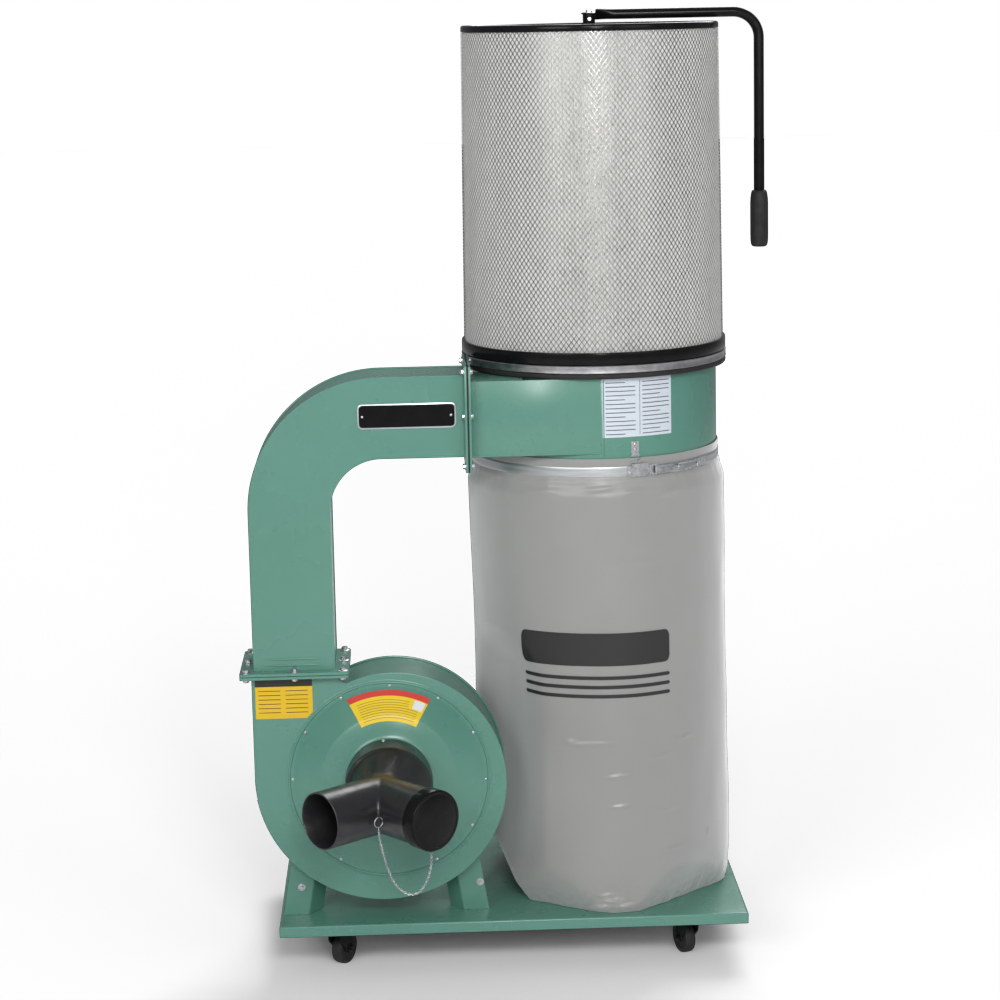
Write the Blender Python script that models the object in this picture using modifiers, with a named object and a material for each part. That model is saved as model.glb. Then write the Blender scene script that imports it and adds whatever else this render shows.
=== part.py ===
"""Single-stage portable dust collector, in metres, +Z up.

Everything is placed in the machine's own frame first: the axis of the drum is x = 0, y = 0, the
floor is z = 0 and the operator stands at -Y. One parent empty then moves the whole machine so that
the origin is the middle of its footprint on the floor.
"""

import math

import bmesh
import bpy
from mathutils import Matrix, Vector

# Base plate and casters
SHEET = 0.003
GAP = 0.0004
PLATE_LEFT, PLATE_RIGHT = -0.640, 0.268
PLATE_HALF_DEPTH = 0.267
PLATE_TOP = 0.104
PLATE_LIP = 0.021
WHEEL_RADIUS = 0.0315
WHEEL_WIDTH = 0.021
AXLE_RADIUS = 0.004
CASTER_TRAIL = 0.022
CASTER_PLATE_TOP = PLATE_TOP - SHEET - GAP
CASTER_X = (-0.530, 0.158)
CASTER_Y = 0.205
# The direction that each wheel's axle points in, in degrees from +X
CASTER_HEADINGS = {"front_left": -30, "front_right": 200, "rear_left": 35, "rear_right": 160}

# Fan housing, a volute whose radius grows from the cutoff round to the outlet
FAN_X, FAN_Z = -0.421, 0.3865
FRONT_Y = -0.239
DUCT_DEPTH = 0.131
BACK_Y = FRONT_Y + DUCT_DEPTH
CUTOFF_RADIUS = 0.2058
CUTOFF_ANGLE = -21.0
VOLUTE_GROWTH = 0.00018
VOLUTE_STEP = 9.0
OUTLET_TOP = 0.5995
HOUSING_WALL = 0.0025
HOUSING_MOUTH = 0.176
COVER_RADIUS = 0.197
COVER_THROAT = 0.0765
COVER_WALL = 0.002

# Duct with its elbow
DUCT_WIDTH = 0.156
DUCT_WALL = 0.0025
ELBOW_INNER = 0.098
ELBOW_X, ELBOW_Z = -0.4195, 0.912
ELBOW_STEPS = 14
FLANGE_WIDTH = 0.0255
FLANGE = 0.0045
GASKET = 0.0022
DUCT_FOOT = OUTLET_TOP + FLANGE + GASKET + 2 * GAP

# Drum, clamp band and bag
DRUM_RADIUS = 0.2390
DRUM_WALL = 0.002
DRUM_BOTTOM, DRUM_TOP = 0.952, 1.1538
INLET_LOW, INLET_HIGH = ELBOW_Z + ELBOW_INNER, 1.1534
INLET_FACE_X = -0.2530
HEM_RADIUS, HEM_TOP = 0.2407, 1.0000
BAND_RADIUS, BAND_LOW, BAND_HIGH = 0.2428, 0.9655, 0.9840
BAG_BOTTOM = PLATE_TOP + GAP
BAG_LEVELS = (BAG_BOTTOM, 0.125, 0.180, 0.260, 0.450, 0.660, 0.925, 0.962, 0.9655, HEM_TOP)
BAG_FOOT_EDGES = (  # bearing of each straight edge of the foot, its reach, and its growth with height
    (180, 0.1610, 0.65), (-123, 0.2160, 0.50), (-48, 0.2150, 0.45), (48, 0.2150, 0.45), (123, 0.2160, 0.50))
BAG_WALL = 0.003

# Uprights behind the drum
POST_X, POST_Y, POST_TOP = 0.165, 0.240, 1.090

# Filter canister
CANISTER_BASE = DRUM_TOP + GAP
RING_RADIUS = 0.2588
CAGE_LOW, CAGE_HIGH = 1.2043, 1.7978
CAGE_RADIUS_LOW, CAGE_RADIUS_HIGH = 0.2535, 0.2480
LID_TOP = 1.8100
PLEAT_COUNT = 34
SHAFT_RADIUS = 0.0080
HUB_RADIUS = 0.0150
ARM_REACH = 0.328
ARM_Z = 1.8265
ARM_TUBE = 0.0100
ARM_BEND = 0.050
GRIP_LOW, GRIP_HIGH, GRIP_RADIUS = 1.373, 1.482, 0.0169
SPINDLE_RADIUS = 0.0050

# Y-connector on the inlet, whose body sits slightly askew on its collar
COLLAR_RADIUS = 0.084
COLLAR_START = 0.0122
COLLAR_LENGTH = 0.075
PORT_RADIUS = 0.0535
PORT_WALL = 0.003
PORT_JUNCTION = 0.155
PORT_LENGTH = 0.1485
PORT_ANGLE = 45.0
PORT_SKEW = 4.5
CAP_RADIUS = 0.0568
CAP_FACE = 0.003
CAP_SKIRT = 0.024
EYE_RADIUS = 0.0095
EYE_WIRE = 0.0011
CHAIN_RADIUS = 0.0022
CHAIN_SPACING = 0.0075

# Motor behind the housing
MOTOR_RADIUS = 0.0780
MOTOR_START, MOTOR_END = BACK_Y + 0.016, 0.118
COWL_END = 0.176
SHAFT_SIZE = 0.0095
FLANGE_RADIUS = 0.0870
COWL_MOUTH = 0.0500
IMPELLER_RADIUS = 0.148
IMPELLER_BLADES = 8

# How finely round shapes are turned
ROUND_STEPS = 36
PORT_STEPS = 26
WHEEL_STEPS = 18
SMALL_STEPS = 16
SHAFT_STEPS = 20

GREEN = (0.085, 0.255, 0.185)

parts = None
cutters = None
root = None


def clear_scene():
    for item in list(bpy.data.objects):
        bpy.data.objects.remove(item, do_unlink=True)


def finish(name, colour, roughness, metallic=0.0):
    material = bpy.data.materials.get(name)
    if material is None:
        material = bpy.data.materials.new(name)
        material.use_nodes = True
        shader = material.node_tree.nodes["Principled BSDF"]
        shader.inputs["Base Color"].default_value = (*colour, 1.0)
        shader.inputs["Roughness"].default_value = roughness
        shader.inputs["Metallic"].default_value = metallic
        material.diffuse_color = (*colour, 1.0)
    return material


def green_paint():
    return finish("green_paint", GREEN, 0.4)


def black_plastic():
    return finish("black_plastic", (0.02, 0.02, 0.022), 0.45)


def black_paint():
    return finish("black_paint", (0.015, 0.015, 0.017), 0.35)


def black_rubber():
    return finish("black_rubber", (0.02, 0.02, 0.02), 0.8)


def steel():
    return finish("steel", (0.4, 0.4, 0.4), 0.4, 1.0)


def zinc():
    return finish("zinc", (0.62, 0.63, 0.64), 0.3, 1.0)


def add(name, mesh, material, location=(0, 0, 0), rotation=None, group=None):
    """Links a new object of this mesh under the machine's parent empty."""
    item = bpy.data.objects.new(name, mesh)
    if material is not None:
        mesh.materials.append(material)
    (group or parts).objects.link(item)
    item.parent = root
    item.location = location
    if rotation is not None:
        item.rotation_mode = "QUATERNION"
        item.rotation_quaternion = rotation
    return item


def towards(direction):
    """The rotation that turns a shape's +Z to this direction."""
    return Vector((0, 0, 1)).rotation_difference(Vector(direction).normalized())


def facing_front():
    """Turns +Z to -Y and +Y to +Z, for shapes drawn as seen from the front."""
    return Matrix.Rotation(math.radians(90), 4, "X").to_quaternion()


def box(name, low, high, material, bevel=0.0, group=None):
    mesh = bpy.data.meshes.new(name)
    centre = (Vector(low) + Vector(high)) / 2
    size = Vector(high) - Vector(low)
    shape = bmesh.new()
    bmesh.ops.create_cube(shape, size=1.0, matrix=Matrix.Diagonal((*size, 1.0)))
    shape.to_mesh(mesh)
    shape.free()
    item = add(name, mesh, material, centre, group=group)
    if bevel:
        round_edges(item, bevel)
    return item


def round_edges(item, width, segments=2):
    modifier = item.modifiers.new("rounded", "BEVEL")
    modifier.width = width
    modifier.segments = segments
    modifier.limit_method = "ANGLE"
    modifier.angle_limit = math.radians(40)


def set_origin(item, point):
    """Puts the object's origin on its joint's axis and leaves its shape where it is."""
    moved = item.matrix_basis.inverted() @ Vector(point)
    item.data.transform(Matrix.Translation(-moved))
    item.location = point


def cylinder(name, radius, start, end, material, steps=32, end_radius=None, group=None):
    """A cylinder or cone from one point to another."""
    start, end = Vector(start), Vector(end)
    mesh = bpy.data.meshes.new(name)
    shape = bmesh.new()
    bmesh.ops.create_cone(
        shape, cap_ends=True, segments=steps, radius1=radius,
        radius2=radius if end_radius is None else end_radius, depth=(end - start).length)
    shape.to_mesh(mesh)
    shape.free()
    return add(name, mesh, material, (start + end) / 2, towards(end - start), group)


def turned(name, profile, material, steps=ROUND_STEPS, location=(0, 0, 0), rotation=None, group=None):
    """A shape turned about +Z from (radius, height) points that run down its outer side.

    The profile closes on itself unless it starts and ends on the axis.
    """
    mesh = bpy.data.meshes.new(name)
    count = len(profile)
    edges = [(i, i + 1) for i in range(count - 1)]
    if profile[0][0] > 0:
        edges.append((count - 1, 0))
    mesh.from_pydata([(radius, 0, height) for radius, height in profile], edges, [])
    item = add(name, mesh, material, location, rotation, group)
    screw = item.modifiers.new("turned", "SCREW")
    screw.steps = steps
    screw.render_steps = steps
    screw.use_merge_vertices = True
    screw.merge_threshold = 0.00001
    return item


def ring(name, inner, outer, low, high, material, steps=ROUND_STEPS, **place):
    profile = [(outer, high), (outer, low), (inner, low), (inner, high)]
    return turned(name, profile, material, steps, **place)


def outline(name, points, thickness, material, location=(0, 0, 0), rotation=None, group=None):
    """A flat plate with this outline, as thick as stated about its own z = 0 plane."""
    curve = bpy.data.curves.new(name, "CURVE")
    curve.dimensions = "2D"
    curve.fill_mode = "BOTH"
    curve.extrude = thickness / 2
    spline = curve.splines.new("POLY")
    spline.points.add(len(points) - 1)
    for point, (x, y) in zip(spline.points, points):
        point.co = (x, y, 0, 1)
    spline.use_cyclic_u = True
    return as_mesh(name, curve, material, location, rotation, group)


def tube(name, points, radius, material, resolution=4, group=None, closed=False):
    """A round tube or wire along these points."""
    curve = bpy.data.curves.new(name, "CURVE")
    curve.dimensions = "3D"
    curve.bevel_depth = radius
    curve.bevel_resolution = resolution
    curve.use_fill_caps = not closed
    spline = curve.splines.new("POLY")
    spline.points.add(len(points) - 1)
    for point, place in zip(spline.points, points):
        point.co = (*place, 1)
    spline.use_cyclic_u = closed
    return as_mesh(name, curve, material, group=group)


def as_mesh(name, curve, material, location=(0, 0, 0), rotation=None, group=None):
    """Makes a curve into a mesh object with its caps welded."""
    source = bpy.data.objects.new(name + "_curve", curve)
    bpy.context.scene.collection.objects.link(source)
    evaluated = source.evaluated_get(bpy.context.evaluated_depsgraph_get())
    mesh = bpy.data.meshes.new_from_object(evaluated)
    shape = bmesh.new()
    shape.from_mesh(mesh)
    bmesh.ops.remove_doubles(shape, verts=shape.verts, dist=0.00001)
    bmesh.ops.recalc_face_normals(shape, faces=shape.faces)
    shape.to_mesh(mesh)
    shape.free()
    bpy.data.objects.remove(source, do_unlink=True)
    mesh.name = name
    mesh.materials.clear()
    return add(name, mesh, material, location, rotation, group)


def combine(item, tool, operation):
    """Cuts item with tool, or joins tool to it, and keeps tool among the cutters."""
    for collection in list(tool.users_collection):
        collection.objects.unlink(tool)
    cutters.objects.link(tool)
    tool.hide_render = True
    tool.display_type = "WIRE"
    modifier = item.modifiers.new(operation.lower(), "BOOLEAN")
    modifier.operation = operation
    modifier.solver = "EXACT"
    modifier.object = tool
    return item


def cut(item, tool):
    return combine(item, tool, "DIFFERENCE")


def join(item, tool):
    return combine(item, tool, "UNION")


def polar(radius, degrees):
    angle = math.radians(degrees)
    return radius * math.cos(angle), radius * math.sin(angle)


# ---------------------------------------------------------------- base


def base_plate():
    """A sheet folded down along its four edges."""
    low = (PLATE_LEFT, -PLATE_HALF_DEPTH, PLATE_TOP - PLATE_LIP)
    high = (PLATE_RIGHT, PLATE_HALF_DEPTH, PLATE_TOP)
    plate = box("base_plate", low, high, green_paint(), bevel=0.002)
    inside = box(
        "base_plate_inside",
        (low[0] + SHEET, low[1] + SHEET, low[2] - SHEET),
        (high[0] - SHEET, high[1] - SHEET, PLATE_TOP - SHEET), None, group=cutters)
    cut(plate, inside)


def caster(place, x, y, heading):
    """Top plate, swivelling fork with its axle, and the wheel that trails behind the swivel."""
    axle_way = Vector((*polar(1, heading), 0))
    rolling = Vector((-axle_way.y, axle_way.x, 0))
    if rolling.y < 0:
        axle_way, rolling = -axle_way, -rolling
    low_z = CASTER_PLATE_TOP - 0.003
    top = box(
        "caster_plate_" + place, (x - 0.028, y - 0.024, low_z), (x + 0.028, y + 0.024, CASTER_PLATE_TOP),
        zinc())
    join(top, cylinder(
        "caster_race_" + place, 0.017, (x, y, low_z - 0.004), (x, y, low_z + 0.001), None, SMALL_STEPS))

    fork_top = low_z - 0.004 - GAP
    inner, outer = WHEEL_WIDTH / 2 + 0.0015, WHEEL_WIDTH / 2 + 0.0035
    shoulder = fork_top - 0.003
    foot = WHEEL_RADIUS - 0.010
    arch = [(-outer, foot), (-inner, foot), (-inner, shoulder), (inner, shoulder),
            (inner, foot), (outer, foot), (outer, fork_top), (-outer, fork_top)]
    turn = Matrix((axle_way, Vector((0, 0, 1)), -rolling)).transposed().to_quaternion()
    centre = Vector((x, y, 0)) + rolling * CASTER_TRAIL
    fork = outline("caster_fork_" + place, arch, 0.026, zinc(), centre - rolling * 0.006, turn)
    set_origin(fork, (x, y, 0))
    deck = cylinder("caster_deck_" + place, 0.019, (x, y, shoulder), (x, y, fork_top), None, SMALL_STEPS)
    join(fork, deck)
    axle_centre = centre + Vector((0, 0, WHEEL_RADIUS))
    reach = axle_way * (outer + 0.003)
    join(fork, cylinder(
        "caster_axle_" + place, AXLE_RADIUS, axle_centre - reach, axle_centre + reach, None, 10))

    half = WHEEL_WIDTH / 2
    chamfer = 0.005
    profile = [(WHEEL_RADIUS - chamfer, half), (WHEEL_RADIUS, half - chamfer), (WHEEL_RADIUS, chamfer - half),
               (WHEEL_RADIUS - chamfer, -half), (AXLE_RADIUS + GAP, -half), (AXLE_RADIUS + GAP, half)]
    turned("caster_wheel_" + place, profile, black_rubber(), WHEEL_STEPS, axle_centre, towards(axle_way))


def casters():
    for place, heading in CASTER_HEADINGS.items():
        x = CASTER_X[0] if "left" in place else CASTER_X[1]
        y = -CASTER_Y if "front" in place else CASTER_Y
        caster(place, x, y, heading)


def leg(name, side):
    """A bent angle from the plate up to the scroll, leaning outward towards its foot."""
    foot_x, head_x = (FAN_X - 0.165, FAN_X - 0.132) if side < 0 else (FAN_X + 0.140, FAN_X + 0.108)
    edge_y, back = -0.196, 0.034
    section = [(side * 0.048, 0.0), (0.0, 0.0), (-side * 0.024, back), (-side * 0.0268, back - 0.002),
               (-side * 0.0012, -SHEET), (side * 0.048, -SHEET)]
    mesh = bpy.data.meshes.new(name)
    shape = bmesh.new()
    rows = []
    for x, z in ((foot_x, PLATE_TOP + GAP), (head_x, 0.300)):
        rows.append([shape.verts.new((x + dx, edge_y + dy, z)) for dx, dy in section])
    count = len(section)
    for i in range(count):
        following = (i + 1) % count
        shape.faces.new((rows[0][i], rows[0][following], rows[1][following], rows[1][i]))
    shape.faces.new(rows[0])
    shape.faces.new(rows[1])
    bmesh.ops.recalc_face_normals(shape, faces=shape.faces)
    shape.to_mesh(mesh)
    shape.free()
    item = add(name, mesh, green_paint())
    cut(item, volute_solid(name + "_clearance", -GAP, FRONT_Y - GAP, BACK_Y + GAP))


def motor_stand():
    """A channel under the motor, bent up from sheet."""
    half, deep = 0.070, 0.045
    top = FAN_Z - MOTOR_RADIUS - 0.0006
    low = PLATE_TOP + GAP
    arch = [(-half, low), (-half + SHEET, low), (-half + SHEET, top - SHEET), (half - SHEET, top - SHEET),
            (half - SHEET, low), (half, low), (half, top), (-half, top)]
    outline("motor_stand", arch, 2 * deep, green_paint(), (FAN_X, 0.010, 0), facing_front())


# ---------------------------------------------------------------- fan housing


def volute_points(inset):
    """The scroll as (x, z) points, from the outlet's left corner down and round to the cutoff."""
    wall_x = FAN_X - CUTOFF_RADIUS - VOLUTE_GROWTH * (270 - CUTOFF_ANGLE) + inset
    points = [(wall_x, OUTLET_TOP)]
    steps = round((270 - CUTOFF_ANGLE) / VOLUTE_STEP)
    for i in range(steps + 1):
        bearing = 270 + (CUTOFF_ANGLE - 270) * i / steps
        radius = CUTOFF_RADIUS + VOLUTE_GROWTH * (bearing - CUTOFF_ANGLE) - inset
        angle = math.radians(bearing)
        points.append((FAN_X + radius * math.sin(angle), FAN_Z + radius * math.cos(angle)))
    outlet_right = ELBOW_X - ELBOW_INNER - inset
    tip_x, tip_z = points[-1]
    points.append(((outlet_right + tip_x) / 2 - 0.001, (OUTLET_TOP + tip_z) / 2 - 0.004))
    points.append((outlet_right, OUTLET_TOP - 0.004))
    points.append((outlet_right, OUTLET_TOP))
    return points


def volute_solid(name, inset, front, back, top=OUTLET_TOP, group=None):
    points = volute_points(inset)
    points[0] = (points[0][0], top)
    points[-1] = (points[-1][0], top)
    middle = (front + back) / 2
    return outline(name, points, back - front, None, (0, middle, 0), facing_front(), group or cutters)


def flange_plate(name, x_low, x_high, z_low, z_high, material):
    """A rectangular flange around the vertical duct, lying flat."""
    plate = box(
        name, (x_low - FLANGE_WIDTH, FRONT_Y - FLANGE_WIDTH, z_low),
        (x_high + FLANGE_WIDTH, BACK_Y + FLANGE_WIDTH, z_high), material)
    return plate


def duct_sides():
    right = ELBOW_X - ELBOW_INNER
    return right - DUCT_WIDTH, right


def fan_housing():
    """The scroll sheet with its front and back plates, open to the inlet and at the outlet flange."""
    left, right = duct_sides()
    housing = volute_solid("fan_housing", 0.0, FRONT_Y, BACK_Y, group=parts)
    housing.data.materials.append(green_paint())
    join(housing, flange_plate("outlet_flange", left, right, OUTLET_TOP - FLANGE, OUTLET_TOP, None))
    cut(housing, volute_solid(
        "housing_inside", HOUSING_WALL, FRONT_Y + HOUSING_WALL, BACK_Y - HOUSING_WALL, OUTLET_TOP + 0.01))
    cut(housing, cylinder(
        "housing_mouth", HOUSING_MOUTH, (FAN_X, FRONT_Y - 0.01, FAN_Z), (FAN_X, FRONT_Y + 0.01, FAN_Z),
        None, ROUND_STEPS))
    cut(housing, cylinder(
        "housing_shaft_hole", 0.020, (FAN_X, BACK_Y - 0.01, FAN_Z), (FAN_X, BACK_Y + 0.01, FAN_Z), None,
        SMALL_STEPS))


def inlet_cover():
    """A pressed round cover: flat rim, bead, shallow dish and the throat that carries the collar."""
    rim_width, dish_depth, crown, throat_length = 0.018, 0.004, 0.008, 0.048
    face = [(COVER_RADIUS, 0.0), (COVER_RADIUS - rim_width, 0.0), (0.125, -dish_depth),
            (COVER_THROAT, crown), (COVER_THROAT, throat_length)]
    outer = [(radius, height + COVER_WALL) for radius, height in face[:-2]]
    outer += [(COVER_THROAT + COVER_WALL, crown + COVER_WALL), (COVER_THROAT + COVER_WALL, throat_length)]
    profile = list(reversed(outer)) + face
    turned(
        "inlet_cover", profile, green_paint(), location=(FAN_X, FRONT_Y - GAP, FAN_Z),
        rotation=facing_front())


# ---------------------------------------------------------------- Y-connector


def port_way(side):
    """The unit direction of a port: side 0 is straight ahead, -1 left and 1 right."""
    bearing = -90 - PORT_SKEW + side * PORT_ANGLE
    return Vector((*polar(1, bearing), 0))


def connector_point(distance):
    return Vector((FAN_X, FRONT_Y, FAN_Z)) + port_way(0) * distance


def connector_solid(name, shrink, stretch, material, group):
    """Collar, shoulder and the two ports as one solid, thinner by shrink and longer by stretch."""
    start = Vector((FAN_X, FRONT_Y - COLLAR_START, FAN_Z))
    collar_end = Vector((FAN_X, FRONT_Y - COLLAR_LENGTH + shrink, FAN_Z))
    back = Vector((0, stretch, 0))
    body = cylinder(
        name, COLLAR_RADIUS - shrink, start + back, collar_end, material, ROUND_STEPS, group=group)
    junction = connector_point(PORT_JUNCTION)
    shoulder_start = collar_end + Vector((0, 0.002, 0))
    join(body, cylinder(
        name + "_shoulder", COLLAR_RADIUS - shrink - 0.0003, shoulder_start, junction, None, ROUND_STEPS,
        end_radius=PORT_RADIUS - shrink - 0.006))
    for side in (-1, 1):
        way = port_way(side)
        join(body, cylinder(
            name + "_port" + str(side), PORT_RADIUS - shrink, junction - way * (0.022 - 3 * shrink),
            junction + way * (PORT_LENGTH + stretch), None, PORT_STEPS))
    return body


def y_connector():
    body = connector_solid("y_connector", 0.0, 0.0, black_plastic(), parts)
    inside = connector_solid("connector_inside", PORT_WALL, 0.01, None, cutters)
    cut(body, inside)


def port_cap():
    """A flat-faced cap over the mouth of the right-hand port, with an eye for its chain."""
    way = port_way(1)
    mouth = connector_point(PORT_JUNCTION) + way * PORT_LENGTH
    inner = PORT_RADIUS + GAP
    face = CAP_FACE + GAP
    profile = [(0, face), (CAP_RADIUS - 0.001, face), (CAP_RADIUS, face - 0.001),
               (CAP_RADIUS, -CAP_SKIRT), (inner, -CAP_SKIRT), (inner, GAP), (0, GAP)]
    cap = turned("port_cap", profile, black_plastic(), PORT_STEPS, mouth, towards(way))
    eye = mouth - way * 0.012 - Vector((0, 0, CAP_RADIUS - 0.001))
    join(cap, cylinder("cap_lug", 0.0030, eye, eye - Vector((0, 0, 0.006)), None, 12))


def chain_eye():
    """A small ring screwed into the seam between the two ports."""
    centre = Vector((FAN_X - 0.0182, FRONT_Y - 0.2415, FAN_Z - 0.0085))
    loop = []
    for i in range(SMALL_STEPS):
        across, up = polar(EYE_RADIUS, 360 * i / SMALL_STEPS)
        loop.append(centre + Vector((0, across, up)))
    tube("chain_eye", loop, EYE_WIRE, zinc(), 2, closed=True)


def smooth_route(route, spacing):
    """Points at about this spacing on a smooth curve through the route's own points."""
    padded = [2 * route[0] - route[1]] + route + [2 * route[-1] - route[-2]]
    points = []
    for i in range(1, len(padded) - 2):
        a, b, c, d = padded[i - 1:i + 3]
        count = max(1, round((c - b).length / spacing))
        for step in range(count):
            t = step / count
            points.append(0.5 * (2 * b + (c - a) * t + (2 * a - 5 * b + 4 * c - d) * t ** 2
                                 + (3 * b - a - 3 * c + d) * t ** 3))
    points.append(route[-1])
    return points


def cap_chain():
    """The light chain that keeps the cap with the connector, hanging in its own loop."""
    route = [(-0.4392, -0.4805, 0.3666), (-0.4388, -0.4810, 0.3560), (-0.4360, -0.4815, 0.3370),
             (-0.4315, -0.4820, 0.3150), (-0.4250, -0.4830, 0.2930), (-0.4180, -0.4835, 0.2730),
             (-0.4080, -0.4840, 0.2560), (-0.3950, -0.4845, 0.2445), (-0.3815, -0.4850, 0.2400),
             (-0.3680, -0.4855, 0.2450), (-0.3580, -0.4860, 0.2570), (-0.3510, -0.4865, 0.2720),
             (-0.3465, -0.4875, 0.2880), (-0.3440, -0.4890, 0.3040), (-0.3440, -0.4935, 0.3175),
             (-0.3445, -0.4965, 0.3232)]
    points = smooth_route([Vector(point) for point in route], CHAIN_SPACING)
    tube("cap_chain", points, CHAIN_RADIUS, zinc(), 2)


# ---------------------------------------------------------------- duct


def duct_outline(inset, overrun):
    """The elbow's side view as (x, z) points: up the outer wall, over, and back inside."""
    left, right = duct_sides()
    outer, inner = ELBOW_INNER + DUCT_WIDTH - inset, ELBOW_INNER + inset
    foot, end_x = DUCT_FOOT - overrun, INLET_FACE_X - 2 * GAP - GASKET + overrun
    points = [(left + inset, foot)]
    for i in range(ELBOW_STEPS + 1):
        across, up = polar(outer, 180 - 90 * i / ELBOW_STEPS)
        points.append((ELBOW_X + across, ELBOW_Z + up))
    points.append((end_x, ELBOW_Z + outer))
    points.append((end_x, ELBOW_Z + inner))
    for i in range(ELBOW_STEPS + 1):
        across, up = polar(inner, 90 + 90 * i / ELBOW_STEPS)
        points.append((ELBOW_X + across, ELBOW_Z + up))
    points.append((right - inset, foot))
    return points


def elbow_duct():
    """A rectangular duct that rises from the housing, turns and meets the drum, flanged at both ends."""
    left, right = duct_sides()
    middle = (FRONT_Y + BACK_Y) / 2
    duct = outline(
        "elbow_duct", duct_outline(0.0, 0.0), DUCT_DEPTH, green_paint(), (0, middle, 0), facing_front())
    join(duct, flange_plate("duct_foot_flange", left, right, DUCT_FOOT, DUCT_FOOT + FLANGE, None))
    end_x = INLET_FACE_X - 2 * GAP - GASKET
    join(duct, box(
        "duct_end_flange",
        (end_x - FLANGE, FRONT_Y - FLANGE_WIDTH, ELBOW_Z + ELBOW_INNER - FLANGE_WIDTH),
        (end_x, BACK_Y + FLANGE_WIDTH, ELBOW_Z + ELBOW_INNER + DUCT_WIDTH + 0.019), None))
    cut(duct, outline(
        "duct_inside", duct_outline(DUCT_WALL, 0.01), DUCT_DEPTH - 2 * DUCT_WALL, None, (0, middle, 0),
        facing_front(), cutters))


def duct_gaskets():
    left, right = duct_sides()
    low = OUTLET_TOP + GAP
    foot = flange_plate("foot_gasket", left, right, low, low + GASKET, black_rubber())
    cut(foot, box(
        "foot_gasket_hole", (left, FRONT_Y, low - 0.01), (right, BACK_Y, low + 0.01), None, group=cutters))
    start = INLET_FACE_X - GAP - GASKET
    bottom, top = ELBOW_Z + ELBOW_INNER, ELBOW_Z + ELBOW_INNER + DUCT_WIDTH
    side = box(
        "side_gasket", (start, FRONT_Y - FLANGE_WIDTH, bottom - FLANGE_WIDTH),
        (start + GASKET, BACK_Y + FLANGE_WIDTH, top + 0.019), black_rubber())
    cut(side, box(
        "side_gasket_hole", (start - 0.01, FRONT_Y, bottom), (start + 0.01, BACK_Y, INLET_HIGH), None,
        group=cutters))


# ---------------------------------------------------------------- drum, band and bag


def drum():
    """The drum wall with its top ring and the inlet that meets it along a tangent."""
    wall = cylinder(
        "drum", DRUM_RADIUS, (0, 0, DRUM_BOTTOM), (0, 0, DRUM_TOP), green_paint(), ROUND_STEPS)
    join(wall, box("inlet_box", (INLET_FACE_X, FRONT_Y, INLET_LOW), (0, BACK_Y, INLET_HIGH), None))
    join(wall, box(
        "inlet_flange", (INLET_FACE_X, FRONT_Y - FLANGE_WIDTH, INLET_LOW - FLANGE_WIDTH),
        (INLET_FACE_X + FLANGE, BACK_Y + FLANGE_WIDTH, INLET_HIGH + 0.031), None))
    cut(wall, cylinder(
        "drum_inside", DRUM_RADIUS - DRUM_WALL, (0, 0, DRUM_BOTTOM - 0.01), (0, 0, DRUM_TOP - DRUM_WALL),
        None, ROUND_STEPS))
    cut(wall, box(
        "inlet_inside", (INLET_FACE_X - 0.01, FRONT_Y + DRUM_WALL, INLET_LOW + DRUM_WALL),
        (-0.002, BACK_Y - DRUM_WALL, INLET_HIGH - DRUM_WALL), None, group=cutters))
    cut(wall, cylinder(
        "drum_top_hole", 0.205, (0, 0, DRUM_TOP - 0.01), (0, 0, DRUM_TOP + 0.01), None, ROUND_STEPS))


def posts():
    """The two square uprights that carry the drum from the back edge of the base plate."""
    for name, x in (("left_post", -POST_X), ("right_post", POST_X)):
        y = POST_Y
        post = box(
            name, (x - 0.0125, y - 0.0125, PLATE_TOP + GAP), (x + 0.0125, y + 0.0125, POST_TOP),
            green_paint(), bevel=0.0015)
        reach = DRUM_RADIUS + GAP
        arm = box(
            name + "_arm", (x - 0.010, 0.150, POST_TOP - 0.060), (x + 0.010, y, POST_TOP - 0.010), None)
        cut(arm, cylinder(name + "_drum", reach, (0, 0, 1.0), (0, 0, 1.1), None, ROUND_STEPS))
        join(post, arm)


def band():
    """The steel strap that holds the bag on the drum."""
    ring("bag_band", HEM_RADIUS + GAP, BAND_RADIUS, BAND_LOW, BAND_HIGH, zinc())


def around(radius, degrees, z):
    """A point on the drum's front, degrees to the right of straight ahead."""
    angle = math.radians(degrees)
    return Vector((radius * math.sin(angle), -radius * math.cos(angle), z))


def block_on_drum(name, inner, outer, first, last, low, high, material, steps=4, group=None):
    """A curved block that follows the drum between two bearings."""
    mesh = bpy.data.meshes.new(name)
    shape = bmesh.new()
    rows = []
    for i in range(steps + 1):
        bearing = first + (last - first) * i / steps
        corners = ((inner, low), (outer, low), (outer, high), (inner, high))
        rows.append([shape.verts.new(around(radius, bearing, z)) for radius, z in corners])
    for row, following in zip(rows, rows[1:]):
        for i in range(4):
            j = (i + 1) % 4
            shape.faces.new((row[i], row[j], following[j], following[i]))
    shape.faces.new(rows[0])
    shape.faces.new(rows[-1])
    bmesh.ops.recalc_face_normals(shape, faces=shape.faces)
    shape.to_mesh(mesh)
    shape.free()
    return add(name, mesh, material, group=group)


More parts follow.
